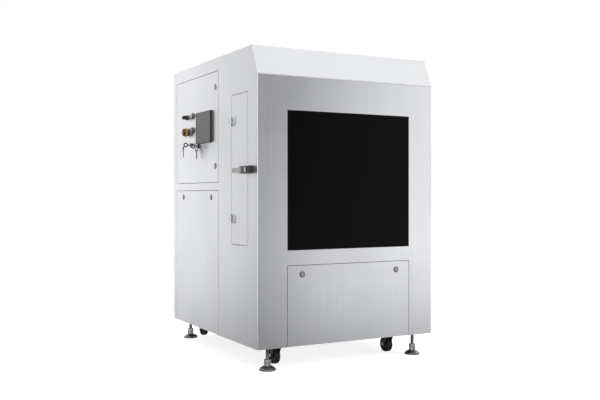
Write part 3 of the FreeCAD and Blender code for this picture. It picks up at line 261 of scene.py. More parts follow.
@dataclass(frozen=True)
class SatinSteel(Finish):
    """Satin sheet with a fine grain, faint clouds and small differences in gloss."""

    name: str
    colour: Colour
    grain: Grain
    roughness: float = 0.42
    lines_per_metre: float = 900.0
    lines_per_band: float = 9.0
    clouds_per_metre: float = 2.2
    tones: Span = (0.90, 1.09)
    line_share: float = 0.40
    band_share: float = 0.45
    cloud_share: float = 0.15
    line_gloss: float = 0.04
    cloud_gloss: float = 0.10
    grain_depth: float = 0.00004
    grain_strength: float = 0.04

    def paint(self, sheet: NodeSheet) -> None:
        """Add this finish's nodes.

        Args:
            sheet: The material's empty sheet.
        """
        lines = sheet.noise(self.lines_per_metre, detail=2.0, stretch=self.grain.value)
        bands_per_metre = self.lines_per_metre / self.lines_per_band
        bands = sheet.noise(bands_per_metre, detail=2.0, stretch=self.grain.value)
        clouds = sheet.noise(self.clouds_per_metre, detail=3.0)
        tone = self.line_share * lines + self.band_share * bands + self.cloud_share * clouds
        sheet.surface(
            Base_Color=sheet.toned(tone, self.colour, self.tones),
            Metallic=1.0,
            Roughness=self.roughness + lines.swing(self.line_gloss) + clouds.swing(self.cloud_gloss),
            Normal=sheet.bump(lines, self.grain_depth, self.grain_strength),
        )


@dataclass(frozen=True)
class DarkPane(Finish):
    """Tinted pane, almost black, with faint wipe marks in its gloss and a little dust."""

    name: str = "dark_pane"
    colour: Colour = (0.0042, 0.0042, 0.0044)
    roughness: float = 0.16
    reflectance: float = 0.04
    wipes_per_metre: float = 9.0
    wipe_stretch: Point = (1.0, 1.0, 0.25)
    wipe_gloss: float = 0.10
    dust_per_metre: float = 420.0
    dust_stops: Profile = ((0.62, 0.0), (0.80, 1.0))
    dust_tones: Span = (1.0, 2.2)
    dust_cover: float = 0.35
    dust_gloss: float = 0.05

    def paint(self, sheet: NodeSheet) -> None:
        """Add this finish's nodes.

        Args:
            sheet: The material's empty sheet.
        """
        wipes = sheet.noise(self.wipes_per_metre, detail=4.0, stretch=self.wipe_stretch)
        dust = sheet.ramp(sheet.noise(self.dust_per_metre, detail=1.0), self.dust_stops)
        sheet.surface(
            Base_Color=sheet.toned(self.dust_cover * dust, self.colour, self.dust_tones),
            Roughness=self.roughness + wipes.swing(self.wipe_gloss) + self.dust_gloss * dust,
            Specular_IOR_Level=self.reflectance,
        )


@dataclass(frozen=True)
class MouldedPlastic(Finish):
    """Moulded plastic with a fine spark-eroded texture and marks of handling."""

    name: str
    colour: Colour
    roughness: float = 0.45
    speckles_per_metre: float = 2600.0
    speckle_gloss: float = 0.06
    speckle_depth: float = 0.00005
    speckle_strength: float = 0.4
    marks_per_metre: float = 38.0
    mark_gloss: float = 0.16
    tones: Span = (0.90, 1.10)

    def paint(self, sheet: NodeSheet) -> None:
        """Add this finish's nodes.

        Args:
            sheet: The material's empty sheet.
        """
        speckles = sheet.noise(self.speckles_per_metre, detail=2.0)
        marks = sheet.noise(self.marks_per_metre, detail=3.0)
        sheet.surface(
            Base_Color=sheet.toned(marks, self.colour, self.tones),
            Roughness=self.roughness + marks.swing(self.mark_gloss) + speckles.swing(self.speckle_gloss),
            Normal=sheet.bump(speckles, self.speckle_depth, self.speckle_strength),
        )


@dataclass(frozen=True)
class PlatedMetal(Finish):
    """Plated or polished metal with fine scratches and dulled patches."""

    name: str
    colour: Colour
    roughness: float = 0.26
    scratches_per_metre: float = 700.0
    scratch_stretch: Point = (1.0, 0.2, 0.6)
    scratch_gloss: float = 0.10
    scratch_depth: float = 0.00003
    scratch_strength: float = 0.3
    patches_per_metre: float = 60.0
    patch_gloss: float = 0.18
    tones: Span = (0.86, 1.10)

    def paint(self, sheet: NodeSheet) -> None:
        """Add this finish's nodes.

        Args:
            sheet: The material's empty sheet.
        """
        scratches = sheet.noise(self.scratches_per_metre, detail=4.0, stretch=self.scratch_stretch)
        patches = sheet.noise(self.patches_per_metre, detail=3.0)
        dulled = self.roughness + patches.swing(self.patch_gloss)
        sheet.surface(
            Base_Color=sheet.toned(patches, self.colour, self.tones),
            Metallic=1.0,
            Roughness=dulled + scratches.swing(self.scratch_gloss),
            Normal=sheet.bump(scratches, self.scratch_depth, self.scratch_strength),
        )


@dataclass(frozen=True)
class PowderCoat(Finish):
    """Baked paint with an orange-peel surface."""

    name: str
    colour: Colour
    roughness: float = 0.5
    peel_per_metre: float = 520.0
    peel_gloss: float = 0.12
    peel_depth: float = 0.00012
    peel_strength: float = 0.35
    clouds_per_metre: float = 5.0
    cloud_gloss: float = 0.10
    tones: Span = (0.90, 1.10)

    def paint(self, sheet: NodeSheet) -> None:
        """Add this finish's nodes.

        Args:
            sheet: The material's empty sheet.
        """
        peel = sheet.noise(self.peel_per_metre, detail=2.0)
        clouds = sheet.noise(self.clouds_per_metre, detail=3.0)
        sheet.surface(
            Base_Color=sheet.toned(clouds, self.colour, self.tones),
            Roughness=self.roughness + peel.swing(self.peel_gloss) + clouds.swing(self.cloud_gloss),
            Normal=sheet.bump(peel, self.peel_depth, self.peel_strength),
        )


@dataclass(frozen=True)
class WheelRubber(Finish):
    """Black rubber with scuffed, slightly dusty patches."""

    name: str = "wheel_rubber"
    colour: Colour = (0.012, 0.012, 0.013)
    roughness: float = 0.50
    scuffs_per_metre: float = 90.0
    scuff_stops: Profile = ((0.48, 0.0), (0.72, 1.0))
    scuff_tones: Span = (1.0, 3.2)
    scuff_gloss: float = 0.20
    pores_per_metre: float = 1500.0
    pore_gloss: float = 0.08
    pore_depth: float = 0.00008
    pore_strength: float = 0.4

    def paint(self, sheet: NodeSheet) -> None:
        """Add this finish's nodes.

        Args:
            sheet: The material's empty sheet.
        """
        scuffs = sheet.ramp(sheet.noise(self.scuffs_per_metre, detail=5.0), self.scuff_stops)
        pores = sheet.noise(self.pores_per_metre, detail=2.0)
        sheet.surface(
            Base_Color=sheet.toned(scuffs, self.colour, self.scuff_tones),
            Roughness=self.roughness + self.scuff_gloss * scuffs + pores.swing(self.pore_gloss),
            Normal=sheet.bump(pores, self.pore_depth, self.pore_strength),
        )


@dataclass(frozen=True)
class FootSteel(Finish):
    """Plated foot that stands on a dark, slightly red rubber sole."""

    name: str = "foot_steel"
    colour: Colour = (0.38, 0.375, 0.36)
    tones: Span = (0.82, 1.12)
    roughness: float = 0.40
    patches_per_metre: float = 70.0
    patch_gloss: float = 0.16
    sole_colour: Colour = (0.060, 0.030, 0.027)
    sole_height: float = 0.006
    sole_gloss: float = 0.20

    def paint(self, sheet: NodeSheet) -> None:
        """Add this finish's nodes.

        Args:
            sheet: The material's empty sheet.
        """
        sole = sheet.axis("Z") < self.sole_height
        patches = sheet.noise(self.patches_per_metre, detail=3.0)
        plated = sheet.toned(patches, self.colour, self.tones)
        sheet.surface(
            Base_Color=sheet.mix_colour(sole, plated, self.sole_colour),
            Metallic=1.0 - sole,
            Roughness=self.roughness + patches.swing(self.patch_gloss) + self.sole_gloss * sole,
        )


@dataclass(frozen=True)
class ScreenFace(Finish):
    """Switched-off display behind a satin cover with fingerprints, with a painted sheen that makes it a
    little paler towards its top.
    """

    name: str = "screen_face"
    colour: Colour = (0.112, 0.113, 0.114)
    tones: Span = (0.80, 1.20)
    roughness: float = 0.42
    reflectance: float = 0.20
    middle_height: float = 1.4605
    half_height: float = 0.102
    # How much of the tone is a painted sheen, paler towards the top.
    painted_sheen_share: float = 0.7
    prints_per_metre: float = 26.0
    print_share: float = 0.3
    print_gloss: float = 0.16

    def paint(self, sheet: NodeSheet) -> None:
        """Add this finish's nodes.

        Args:
            sheet: The material's empty sheet.
        """
        # Painted sheen: the colour grows paler towards the screen's top, a reflection of brighter light above
        # painted into it; the fingerprints mixed in are real.
        rise = (sheet.axis("Z") - self.middle_height) * (0.5 / self.half_height) + 0.5
        prints = sheet.noise(self.prints_per_metre, detail=3.0)
        tone = self.painted_sheen_share * rise + self.print_share * prints
        sheet.surface(
            Base_Color=sheet.toned(tone, self.colour, self.tones),
            Roughness=self.roughness + prints.swing(self.print_gloss),
            Specular_IOR_Level=self.reflectance,
        )


@dataclass(frozen=True)
class CutThread(Finish):
    """Bright thread with a film of oil."""

    name: str = "cut_thread"
    colour: Colour = (0.50, 0.50, 0.49)
    tones: Span = (0.75, 1.15)
    roughness: float = 0.22
    film_per_metre: float = 120.0
    film_stretch: Point = (1.0, 1.0, 0.3)
    film_gloss: float = 0.22

    def paint(self, sheet: NodeSheet) -> None:
        """Add this finish's nodes.

        Args:
            sheet: The material's empty sheet.
        """
        film = sheet.noise(self.film_per_metre, detail=3.0, stretch=self.film_stretch)
        sheet.surface(
            Base_Color=sheet.toned(film, self.colour, self.tones),
            Metallic=1.0,
            Roughness=self.roughness + self.film_gloss * film,
        )


class Slot(Enum):
    """The record's material slots that trim pieces belong to."""

    BLACK_PLASTIC = "black_plastic"
    RED_PLASTIC = "red_plastic"
    YELLOW_PLASTIC = "yellow_plastic"
    LIME_PLASTIC = "lime_plastic"
    GREY_PLASTIC = "grey_plastic"
    PLATED_STEEL = "plated_steel"
    ZINC_STEEL = "zinc_steel"
    FOOT_STEEL = "foot_steel"
    WHEEL_RUBBER = "wheel_rubber"


FRONT_SKIN = SatinSteel("front_steel", (0.70, 0.71, 0.735), Grain.UPRIGHT, roughness=0.24)
SKIN = SatinSteel("side_steel", (0.70, 0.71, 0.735), Grain.UPRIGHT)
TOP_SHEET = SatinSteel("satin_steel_hood", (0.72, 0.73, 0.75), Grain.LEVEL_ACROSS)
CHAMBER_SHEET = SatinSteel("chamber_sheet", (0.62, 0.63, 0.64), Grain.LEVEL_ACROSS, roughness=0.36)
ALLOY = SatinSteel(
    "machined_alloy", (0.66, 0.67, 0.68), Grain.LEVEL_BACK, roughness=0.34, lines_per_metre=500.0
)
PANE = DarkPane()
BLACK = MouldedPlastic("black_plastic", (0.018, 0.018, 0.019))
SCREEN = ScreenFace()
RED = MouldedPlastic("red_plastic", (0.25, 0.030, 0.028), roughness=0.38)
DARK_RED = MouldedPlastic("dark_red_plastic", (0.11, 0.016, 0.016), roughness=0.40)
YELLOW = MouldedPlastic("yellow_plastic", (0.58, 0.37, 0.075), roughness=0.40)
LIME = MouldedPlastic("lime_plastic", (0.70, 0.69, 0.36), roughness=0.34)
MAUVE = MouldedPlastic("grey_plastic", (0.185, 0.160, 0.200), roughness=0.34)
GREY = MouldedPlastic("bezel_grey", (0.145, 0.145, 0.15), roughness=0.42)
PALE = MouldedPlastic("pale_insert", (0.56, 0.56, 0.55), roughness=0.40)
LATCH = MouldedPlastic("latch_black", (0.034, 0.034, 0.035), roughness=0.5)
LEVER = PlatedMetal("lever_grey", (0.36, 0.36, 0.355), roughness=0.42)
HINGE = PlatedMetal("hinge_steel", (0.66, 0.67, 0.69), roughness=0.40)
PLATED = PlatedMetal("plated_steel", (0.68, 0.68, 0.67))
KEY_STEEL = PlatedMetal("key_steel", (0.17, 0.17, 0.175), roughness=0.36)
# Dark plating: real on the latch screws; on the lock rosettes the same dark colour is partly a painted shadow
# round each lock's head.
DARK_PLATING_AND_PAINTED_SHADOW = PlatedMetal("lock_rim", (0.075, 0.075, 0.078), roughness=0.38)
LOCK_FACE = PlatedMetal("lock_face", (0.44, 0.44, 0.435), roughness=0.36)
ZINC = PlatedMetal("zinc_steel", (0.55, 0.56, 0.57), roughness=0.34)
FRAME_PAINT = PowderCoat("painted_frame", (0.085, 0.09, 0.096))
BLACK_PAINT = PowderCoat("black_alloy", (0.020, 0.020, 0.021))
UNIT_PAINT = PowderCoat("unit_grey", (0.30, 0.31, 0.32))
FOOT = FootSteel()
RUBBER = WheelRubber()
THREAD = CutThread()

RIGHT = Vector((1.0, 0.0, 0.0))
LEFT = Vector((-1.0, 0.0, 0.0))
FRONT = Vector((0.0, -1.0, 0.0))
REAR = Vector((0.0, 1.0, 0.0))
UP = Vector((0.0, 0.0, 1.0))
LEFT_AXES = (REAR, UP, LEFT)
FRONT_AXES = (RIGHT, UP, FRONT)


def direction_frame(axis: Vector) -> tuple[Vector, Vector, Vector]:
    """Find two directions that are square to an axis and to each other.

    Args:
        axis: The axis.

    Returns:
        The two directions, then the axis.
    """
    nearly_upright = 0.9
    helper = UP if abs(axis.z) < nearly_upright else RIGHT
    first = helper.cross(axis).normalized()
    return first, axis.cross(first), axis.normalized()


def lathe(mesh: bmesh.types.BMesh, base: Vector, axis: Vector, profile: Profile, sides: int = 56) -> None:
    """Add a turned solid.

    Args:
        mesh: The mesh that is added to.
        base: The point on the axis that distances are measured from.
        axis: The direction of the axis.
        profile: Points as (radius, distance along the axis); a radius of zero closes an end, and an outline
            that keeps off the axis is closed into a ring.
        sides: Sides round the axis.
    """
    across, up, along = direction_frame(axis)
    angles = [2.0 * math.pi * step / sides for step in range(sides)]
    spokes = [across * math.cos(angle) + up * math.sin(angle) for angle in angles]
    rings = []
    for radius, distance in profile:
        centre = base + along * distance
        if radius == 0.0:
            rings.append([mesh.verts.new(centre)])
        else:
            rings.append([mesh.verts.new(centre + radius * spoke) for spoke in spokes])
    if profile[0][0] > 0.0:
        rings.append(rings[0])
    for near, far in zip(rings, rings[1:]):
        for step in range(sides):
            after = (step + 1) % sides
            corners = [near[step % len(near)], near[after % len(near)]]
            corners += [far[after % len(far)], far[step % len(far)]]
            unique = list(dict.fromkeys(corners))
            if len(unique) > 2:
                mesh.faces.new(unique)


def bevelled_bar(mesh: bmesh.types.BMesh, low: Vector, high: Vector, bevel: float) -> None:
    """Add a bar with its edges rounded over.

    Args:
        mesh: The mesh that is added to.
        low: One corner.
        high: The corner across from it.
        bevel: The size of the rounded edges.
    """
    made = bmesh.ops.create_cube(mesh, size=1.0)["verts"]
    for vertex in made:
        vertex.co = Vector(low[i] if vertex.co[i] < 0 else high[i] for i in range(3))
    edges = list({edge for vertex in made for edge in vertex.link_edges})
    bmesh.ops.bevel(mesh, geom=edges, offset=bevel, segments=3, profile=0.5, affect="EDGES")


def hexagon_bar(
    mesh: bmesh.types.BMesh, base: Vector, axis: Vector, across_flats: float, height: float
) -> None:
    """Add a hexagon nut or bolt head with its outer corners turned down.

    Args:
        mesh: The mesh that is added to.
        base: The middle of its lower face.
        axis: The direction that it stands in.
        across_flats: Its width across flats.
        height: Its height.
    """
    corner = across_flats / math.sqrt(3.0)
    uncut = 0.88
    profile = [(0.0, 0.0), (corner, 0.0), (corner, uncut * height), (uncut * corner, height), (0.0, height)]
    lathe(mesh, base, axis, profile, sides=6)


def round_corner(radius: float, steps: int = 5) -> list[tuple[float, float]]:
    """A quarter circle as (inward, upward) offsets, from the side to the top."""
    angles = [0.5 * math.pi * step / steps for step in range(steps + 1)]
    return [(radius * (1.0 - math.cos(angle)), radius * math.sin(angle)) for angle in angles]


def domed_edge(radius: float, low: float, high: float, edge: float) -> list[tuple[float, float]]:
    """Draw a disc's outline for the lathe.

    Args:
        radius: The disc's radius.
        low: Where its lower face is.
        high: Where its upper face is.
        edge: The radius that its upper edge is rounded to.

    Returns:
        The outline, from the middle of the lower face to the middle of the upper one.
    """
    side = [(0.0, low), (radius, low)]
    over = [(radius - inward, high - edge + upward) for inward, upward in round_corner(edge)]
    return side + over + [(0.0, high)]


def rounded_path(wide: float, tall: float, corner: float, steps: int = 6) -> list[tuple[Vector, Vector]]:
    """Draw a rectangle with round corners about the origin.

    Args:
        wide: Its width.
        tall: Its height.
        corner: The radius of its corners.
        steps: The pieces that each corner is drawn in.

    Returns:
        Pairs of a point and the direction that points outward there, on X and Y.
    """
    path = []
    for turn in range(4):
        sign_x = 1.0 if turn in (0, 3) else -1.0
        sign_y = 1.0 if turn in (0, 1) else -1.0
        centre = Vector((sign_x * (wide / 2 - corner), sign_y * (tall / 2 - corner)))
        for step in range(steps + 1):
            angle = 0.5 * math.pi * (turn + step / steps)
            outward = Vector((math.cos(angle), math.sin(angle)))
            path.append((centre + corner * outward, outward))
    return path


def swept_frame(
    mesh: bmesh.types.BMesh,
    centre: Vector,
    axes: tuple[Vector, Vector, Vector],
    size: tuple[float, float],
    corner: float,
    section: Profile,
) -> None:
    """Add a closed frame: one section swept round a rectangle with round corners.

    Args:
        mesh: The mesh that is added to.
        centre: The rectangle's middle.
        axes: The frame's across, up and outward directions.
        size: The rectangle's width and height.
        corner: The radius of its corners.
        section: The section's outline as (away from the rectangle, outward) points.
    """
    across, up, out = axes
    rings = []
    for point, away in rounded_path(*size, corner):
        ring = []
        for offset, height in section:
            place = point + away * offset
            ring.append(mesh.verts.new(centre + across * place.x + up * place.y + out * height))
        rings.append(ring)
    for near, far in zip(rings, rings[1:] + rings[:1]):
        for step in range(len(section)):
            after = (step + 1) % len(section)
            mesh.faces.new((near[step], near[after], far[after], far[step]))


def socket_screw(mesh: bmesh.types.BMesh, base: Vector, axis: Vector, radius: float, height: float) -> None:
    """Add a round-headed screw with a round socket.

    Args:
        mesh: The mesh that is added to.
        base: The middle of the head's lower face.
        axis: The direction that the head stands in.
        radius: The head's radius.
        height: The head's height.
    """
    socket = 0.45 * radius
    bottom = 0.4 * height
    edge = 0.7 * height
    dome = domed_edge(radius, 0.0, height, edge)[:-1]
    lathe(mesh, base, axis, dome + [(socket, height), (socket, bottom), (0.0, bottom)], sides=24)


def middle(node: str) -> Vector:
    """The middle of a CAD node's box."""
    low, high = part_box(node)
    return (low + high) / 2


def pivot(body: str) -> Vector:
    """A point on the axis of the hinge that carries a body."""
    return Vector(next(joint["pos_m"] for joint in frame["joints"] if joint["child"] == body))


def left_face() -> float:
    """Where the cabinet's left face is along X."""
    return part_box("left_skin")[0].x


class SubAssembly:
    """A group of pieces that are dressed and trimmed together."""

    def dress(self, finishes: Mapping[str, Finish]) -> None:
        """Give CAD nodes their finishes.

        Args:
            finishes: The finish of each node, by the node's name.
        """
        for node, finish in finishes.items():
            piece = frame["nodes"][node]
            piece.data.materials.clear()
            piece.data.materials.append(finish.material())
            LOG.info("dressed %s with %s", node, finish.name)

    def add(
        self,
        name: str,
        mesh: bmesh.types.BMesh,
        finish: Finish,
        body: str,
        slot: Slot,
        replaced: Sequence[str] = (),
        smooth_under: float = 38.0,
    ) -> None:
        """Turn a mesh into a piece that rides on a body.

        Args:
            name: The piece's name.
            mesh: Its shape in the frame's axes; it is freed.
            finish: Its look.
            body: The body that it moves with.
            slot: The record's material slot that it belongs to; not used.
            replaced: CAD nodes that it stands for.
            smooth_under: Edges flatter than this many degrees are shaded smooth.
        """
        bmesh.ops.recalc_face_normals(mesh, faces=mesh.faces)
        data = bpy.data.meshes.new(name)
        mesh.to_mesh(data)
        mesh.free()
        data.polygons.foreach_set("use_smooth", [True] * len(data.polygons))
        data.set_sharp_from_angle(angle=math.radians(smooth_under))
        data.materials.append(finish.material())
        piece = bpy.data.objects.new(name, data)
        bpy.context.scene.collection.objects.link(piece)
        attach(piece, body)
        if replaced:
            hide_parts(*replaced)
        LOG.info("built %s on %s", name, body)


@dataclass
class Cabinet(SubAssembly):
    """The fixed sheets, the frame inside them, and the inspection hinges' tabs."""

    hinge_height: float = 0.054
    leaf_thickness: float = 0.0025
    knuckle_radius: float = 0.005
    tab_screw_from_axis: float = 0.027
    screw_radius: float = 0.0042
    screw_height: float = 0.0022

    def build(self) -> None:
        """Dress the cabinet and screw down its hinge tabs."""
        self.dress({
            "front_fascia": FRONT_SKIN, "left_skin": SKIN, "right_skin": SKIN, "rear_panel": SKIN,
            "hood": TOP_SHEET, "base_frame": FRAME_PAINT, "frame_posts": FRAME_PAINT, "door_hinges": HINGE,
        })
        screws = bmesh.new()
        for height in self.hinge_heights():
            self.hinge_screw(screws, self.tab_screw_from_axis, height)
        self.add("hinge_tab_screws", screws, PLATED, "cabinet", Slot.ZINC_STEEL)

    def hinge_screw(self, screws: bmesh.types.BMesh, from_axis: float, height: float) -> None:
        """Add one screw on the face of an inspection hinge.

        Args:
            screws: The mesh that is added to.
            from_axis: How far behind the hinge's axis it is.
            height: How high it is.
        """
        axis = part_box("inspection_leaves")[1].y - self.knuckle_radius
        place = Vector((left_face() - self.leaf_thickness, axis + from_axis, height))
        socket_screw(screws, place, LEFT, self.screw_radius, self.screw_height)

    def hinge_heights(self) -> tuple[float, float]:
        """The heights of the two inspection hinges."""
        low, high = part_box("inspection_leaves")
        return low.z + self.hinge_height / 2, high.z - self.hinge_height / 2


@dataclass
class WindowDoor(SubAssembly):
    """The dark pane in its frame, with a rubber seal round its edge."""

    seal_width: float = 0.0019
    seal_depth: float = 0.0040
    seal_set_back: float = 0.0012
    seal_lip: float = 0.00076
    pane_corner: float = 0.005

    def build(self) -> None:
        """Dress the door and run the seal round the pane."""
        self.dress({"window_pane": PANE, "window_frame": BLACK_PAINT})
        low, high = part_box("window_pane")
        centre = middle("window_pane")
        centre.y = low.y
        inner = -self.seal_set_back
        outer = inner - self.seal_depth
        section = [(0.0, outer), (self.seal_width, outer), (self.seal_width, inner - self.seal_lip)]
        section += [(self.seal_lip, inner), (0.0, inner)]
        seal = bmesh.new()
        swept_frame(seal, centre, FRONT_AXES, (high.x - low.x, high.z - low.z), self.pane_corner, section)
        self.add("window_seal", seal, RUBBER, "window_door", Slot.BLACK_PLASTIC)


@dataclass
class InspectionDoor(SubAssembly):
    """The narrow door with its hinge leaves and its latch."""

    cabinet: Cabinet
    near_screws_from_axis: float = 0.018
    near_screws_rise: float = 0.0162
    far_screw_from_axis: float = 0.040
    insert_from_front: float = 0.054
    insert_size: float = 0.027
    insert_corner: float = 0.0027
    insert_height: float = 0.0022
    insert_edge: float = 0.0022 / 3
    border_width: float = 0.0030
    border_shoulder: float = 0.0024
    border_top: float = 0.0018
    latch_screw_from_front: float = 0.024
    latch_screw_from_edge: float = 0.012
    latch_screw_radius: float = 0.0045

    def build(self) -> None:
        """Dress the door, screw down its leaves and finish the latch."""
        self.dress({
            "inspection_door": SKIN, "inspection_leaves": HINGE, "latch_body": LATCH, "latch_lever": LEVER,
        })
        self.leaf_screws()
        self.latch_insert()
        self.latch_screws()

    def leaf_screws(self) -> None:
        """Two screws above each other near the knuckle and one at the round end, on each leaf."""
        screws = bmesh.new()
        for height in self.cabinet.hinge_heights():
            for rise in (self.near_screws_rise, -self.near_screws_rise):
                self.cabinet.hinge_screw(screws, -self.near_screws_from_axis, height + rise)
            self.cabinet.hinge_screw(screws, -self.far_screw_from_axis, height)
        self.add("hinge_leaf_screws", screws, PLATED, "inspection_door", Slot.ZINC_STEEL)

    def latch_insert(self) -> None:
        """A pale square in a black border on the latch's body."""
        low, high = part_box("latch_body")
        centre = Vector((low.x, low.y + self.insert_from_front, (low.z + high.z) / 2))
        half = self.insert_size / 2
        square = bmesh.new()
        near = centre - Vector((0.0, half, half))
        far = centre + Vector((-self.insert_height, half, half))
        bevelled_bar(square, near, far, self.insert_edge)
        self.add("latch_insert", square, PALE, "inspection_door", Slot.GREY_PLASTIC)
        border = bmesh.new()
        wide = self.border_width
        section = [(0.0, 0.0), (wide, 0.0), (wide, self.border_shoulder)]
        section += [(self.border_top, wide), (0.0, wide)]
        size = (self.insert_size, self.insert_size)
        swept_frame(border, centre, LEFT_AXES, size, self.insert_corner, section)
        self.add("latch_insert_border", border, BLACK, "inspection_door", Slot.BLACK_PLASTIC)

    def latch_screws(self) -> None:
        """Two fixing screws at the front of the latch's body."""
        low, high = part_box("latch_body")
        screws = bmesh.new()
        for height in (low.z + self.latch_screw_from_edge, high.z - self.latch_screw_from_edge):
            place = Vector((low.x, low.y + self.latch_screw_from_front, height))
            socket_screw(screws, place, LEFT, self.latch_screw_radius, self.insert_height)
        self.add("latch_screws", screws, DARK_PLATING_AND_PAINTED_SHADOW, "inspection_door", Slot.ZINC_STEEL)


@dataclass
class ControlDoor(SubAssembly):
    """The control door's screen, switches, keys and locks."""

    stem_radius: float = 0.0045
    stem_length: float = 0.024
    stop_neck_radius: float = 0.010
    stop_neck_low: float = 0.007
    stop_radius: float = 0.026
    stop_low: float = 0.025
    stop_crown: float = 0.03085
    stop_high: float = 0.038
    stop_edge: float = 0.0016
    stop_steps: int = 10
    collar_radius: float = 0.033
    collar_top_radius: float = 0.029
    collar_bore: float = 0.0161
    collar_low: float = 0.010
    collar_high: float = 0.020
    cap_radius: float = 0.0136
    cap_low: float = 0.0065
    cap_high: float = 0.012
    cap_edge: float = 0.0012
    dish_radius: float = 0.00816
    dish_depth: float = 0.0008
    dish_middle_depth: float = 0.00104
    bezel_bore: float = 0.0172
    bezel_radius: float = 0.0200
    bezel_height: float = 0.0078
    knob_radius: float = 0.0132
    band_low: float = 0.0135
    band_high: float = 0.0195
    band_bulge: float = 0.0007
    band_thickness: float = 0.002
    rosette_bore: float = 0.0146
    rosette_radius: float = 0.0180
    rosette_height: float = 0.0022
    border_inside: float = 0.0009
    border_outside: float = 0.003825
    border_shoulder: float = 0.0027
    border_height: float = 0.0008
    border_side: float = 0.0002
    border_depth: float = 0.001

    def build(self) -> None:
        """Dress the door and build its smooth switches."""
        self.dress({
            "control_door": SKIN, "screen_housing": BLACK, "screen_glass": SCREEN, "switch_bezels": BLACK,
            "selector_knob": BLACK, "upper_key": KEY_STEEL, "lower_key": KEY_STEEL,
        })
        self.stop_head()
        self.stop_collar()
        self.push_button("start_button", LIME, Slot.LIME_PLASTIC)
        self.push_button("reset_button", MAUVE, Slot.GREY_PLASTIC)
        self.selector_band()
        self.screen_trim()
        for lock in ("control_lock_lower", "control_lock_upper"):
            self.lock(lock, "control_door", LEFT)

    def on_door(self, node: str) -> Vector:
        """The point on the door's face behind the middle of a node."""
        centre = middle(node)
        return Vector((left_face(), centre.y, centre.z))

    def stop_head(self) -> None:
        """The stop button's stem, neck and mushroom head."""
        stem = self.stem_radius
        neck = self.stop_neck_radius
        profile = [(0.0, -self.stem_length), (stem, -self.stem_length), (stem, self.stop_neck_low)]
        profile += [(neck, self.stop_neck_low), (neck, self.stop_low)]
        profile += [(self.stop_radius - self.stop_edge, self.stop_low)]
        profile += [(self.stop_radius, self.stop_low + self.stop_edge)]
        for step in range(self.stop_steps):
            angle = 0.5 * math.pi * step / self.stop_steps
            height = self.stop_crown + (self.stop_high - self.stop_crown) * math.sin(angle)
            profile.append((self.stop_radius * math.cos(angle), height))
        profile.append((0.0, self.stop_high))
        head = bmesh.new()
        lathe(head, self.on_door("stop_button"), LEFT, profile)
        self.add("stop_head", head, RED, "stop_button", Slot.RED_PLASTIC, ("stop_button",))

    def stop_collar(self) -> None:
        """The tapered yellow collar under the stop button's head."""
        edge = self.stop_edge
        outline = [
            (self.collar_bore, self.collar_low), (self.collar_radius - edge, self.collar_low),
            (self.collar_radius, self.collar_low + edge), (self.collar_top_radius, self.collar_high - edge),
            (self.collar_top_radius - edge, self.collar_high), (self.collar_bore, self.collar_high),
        ]
        collar = bmesh.new()
        lathe(collar, self.on_door("stop_button"), LEFT, outline)
        self.add("stop_collar", collar, YELLOW, "control_door", Slot.YELLOW_PLASTIC, ("stop_ring",))

    def push_button(self, node: str, finish: Finish, slot: Slot) -> None:
        """Build a smooth cap with a dished top, and the trim ring round its bezel.

        Args:
            node: The button's CAD node, which is also its body.
            finish: The cap's finish.
            slot: The cap's material slot.
        """
        spot = self.on_door(node)
        stem = self.stem_radius
        profile = [(0.0, -self.stem_length), (stem, -self.stem_length), (stem, self.cap_low)]
        profile += domed_edge(self.cap_radius, self.cap_low, self.cap_high, self.cap_edge)[1:-1]
        profile += [(self.dish_radius, self.cap_high - self.dish_depth)]
        profile += [(0.0, self.cap_high - self.dish_middle_depth)]
        cap = bmesh.new()
        lathe(cap, spot, LEFT, profile)
        self.add(node.replace("button", "cap"), cap, finish, node, slot, (node,))
        ring = bmesh.new()
        self.trim_ring(ring, spot, LEFT, self.bezel_bore, self.bezel_radius, self.bezel_height)
        self.add(node.replace("button", "bezel_ring"), ring, GREY, "control_door", Slot.GREY_PLASTIC)

    @staticmethod
    def trim_ring(
        mesh: bmesh.types.BMesh, spot: Vector, axis: Vector, bore: float, radius: float, height: float
    ) -> None:
        """Add a ring with a rounded outer edge that sits on a face.

        Args:
            mesh: The mesh that is added to.
            spot: The ring's middle, on the face.
            axis: The direction that the face looks in.
            bore: The ring's inner radius.
            radius: Its outer radius.
            height: How far it stands off the face.
        """
        edge = 0.45 * min(height, radius - bore)
        outer = [(radius - inward, height - edge + upward) for inward, upward in round_corner(edge)]
        lathe(mesh, spot, axis, [(bore, 0.0), (radius, 0.0)] + outer + [(bore, height)])

    def selector_band(self) -> None:
        """The dark red band round the middle of the selector."""
        inner = self.knob_radius - self.band_thickness
        crest = (self.knob_radius + self.band_bulge, (self.band_low + self.band_high) / 2)
        outline = [(inner, self.band_low), (self.knob_radius, self.band_low), crest]
        outline += [(self.knob_radius, self.band_high), (inner, self.band_high)]
        band = bmesh.new()
        lathe(band, self.on_door("selector_knob"), LEFT, outline)
        self.add("selector_band", band, DARK_RED, "selector_knob", Slot.RED_PLASTIC)

    def screen_trim(self) -> None:
        """A thin rounded frame round the edge of the screen's glass."""
        low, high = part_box("screen_glass")
        centre = middle("screen_glass")
        centre.x = low.x
        inside = -self.border_inside
        outside = self.border_outside
        shoulder = self.border_shoulder
        section = [(inside, -self.border_depth), (outside, -self.border_depth), (outside, self.border_side)]
        section += [(shoulder, self.border_height), (0.0, self.border_height), (inside, self.border_side)]
        border = bmesh.new()
        swept_frame(border, centre, LEFT_AXES, (high.y - low.y, high.z - low.z), shoulder, section)
        self.add("screen_border", border, BLACK, "control_door", Slot.BLACK_PLASTIC)

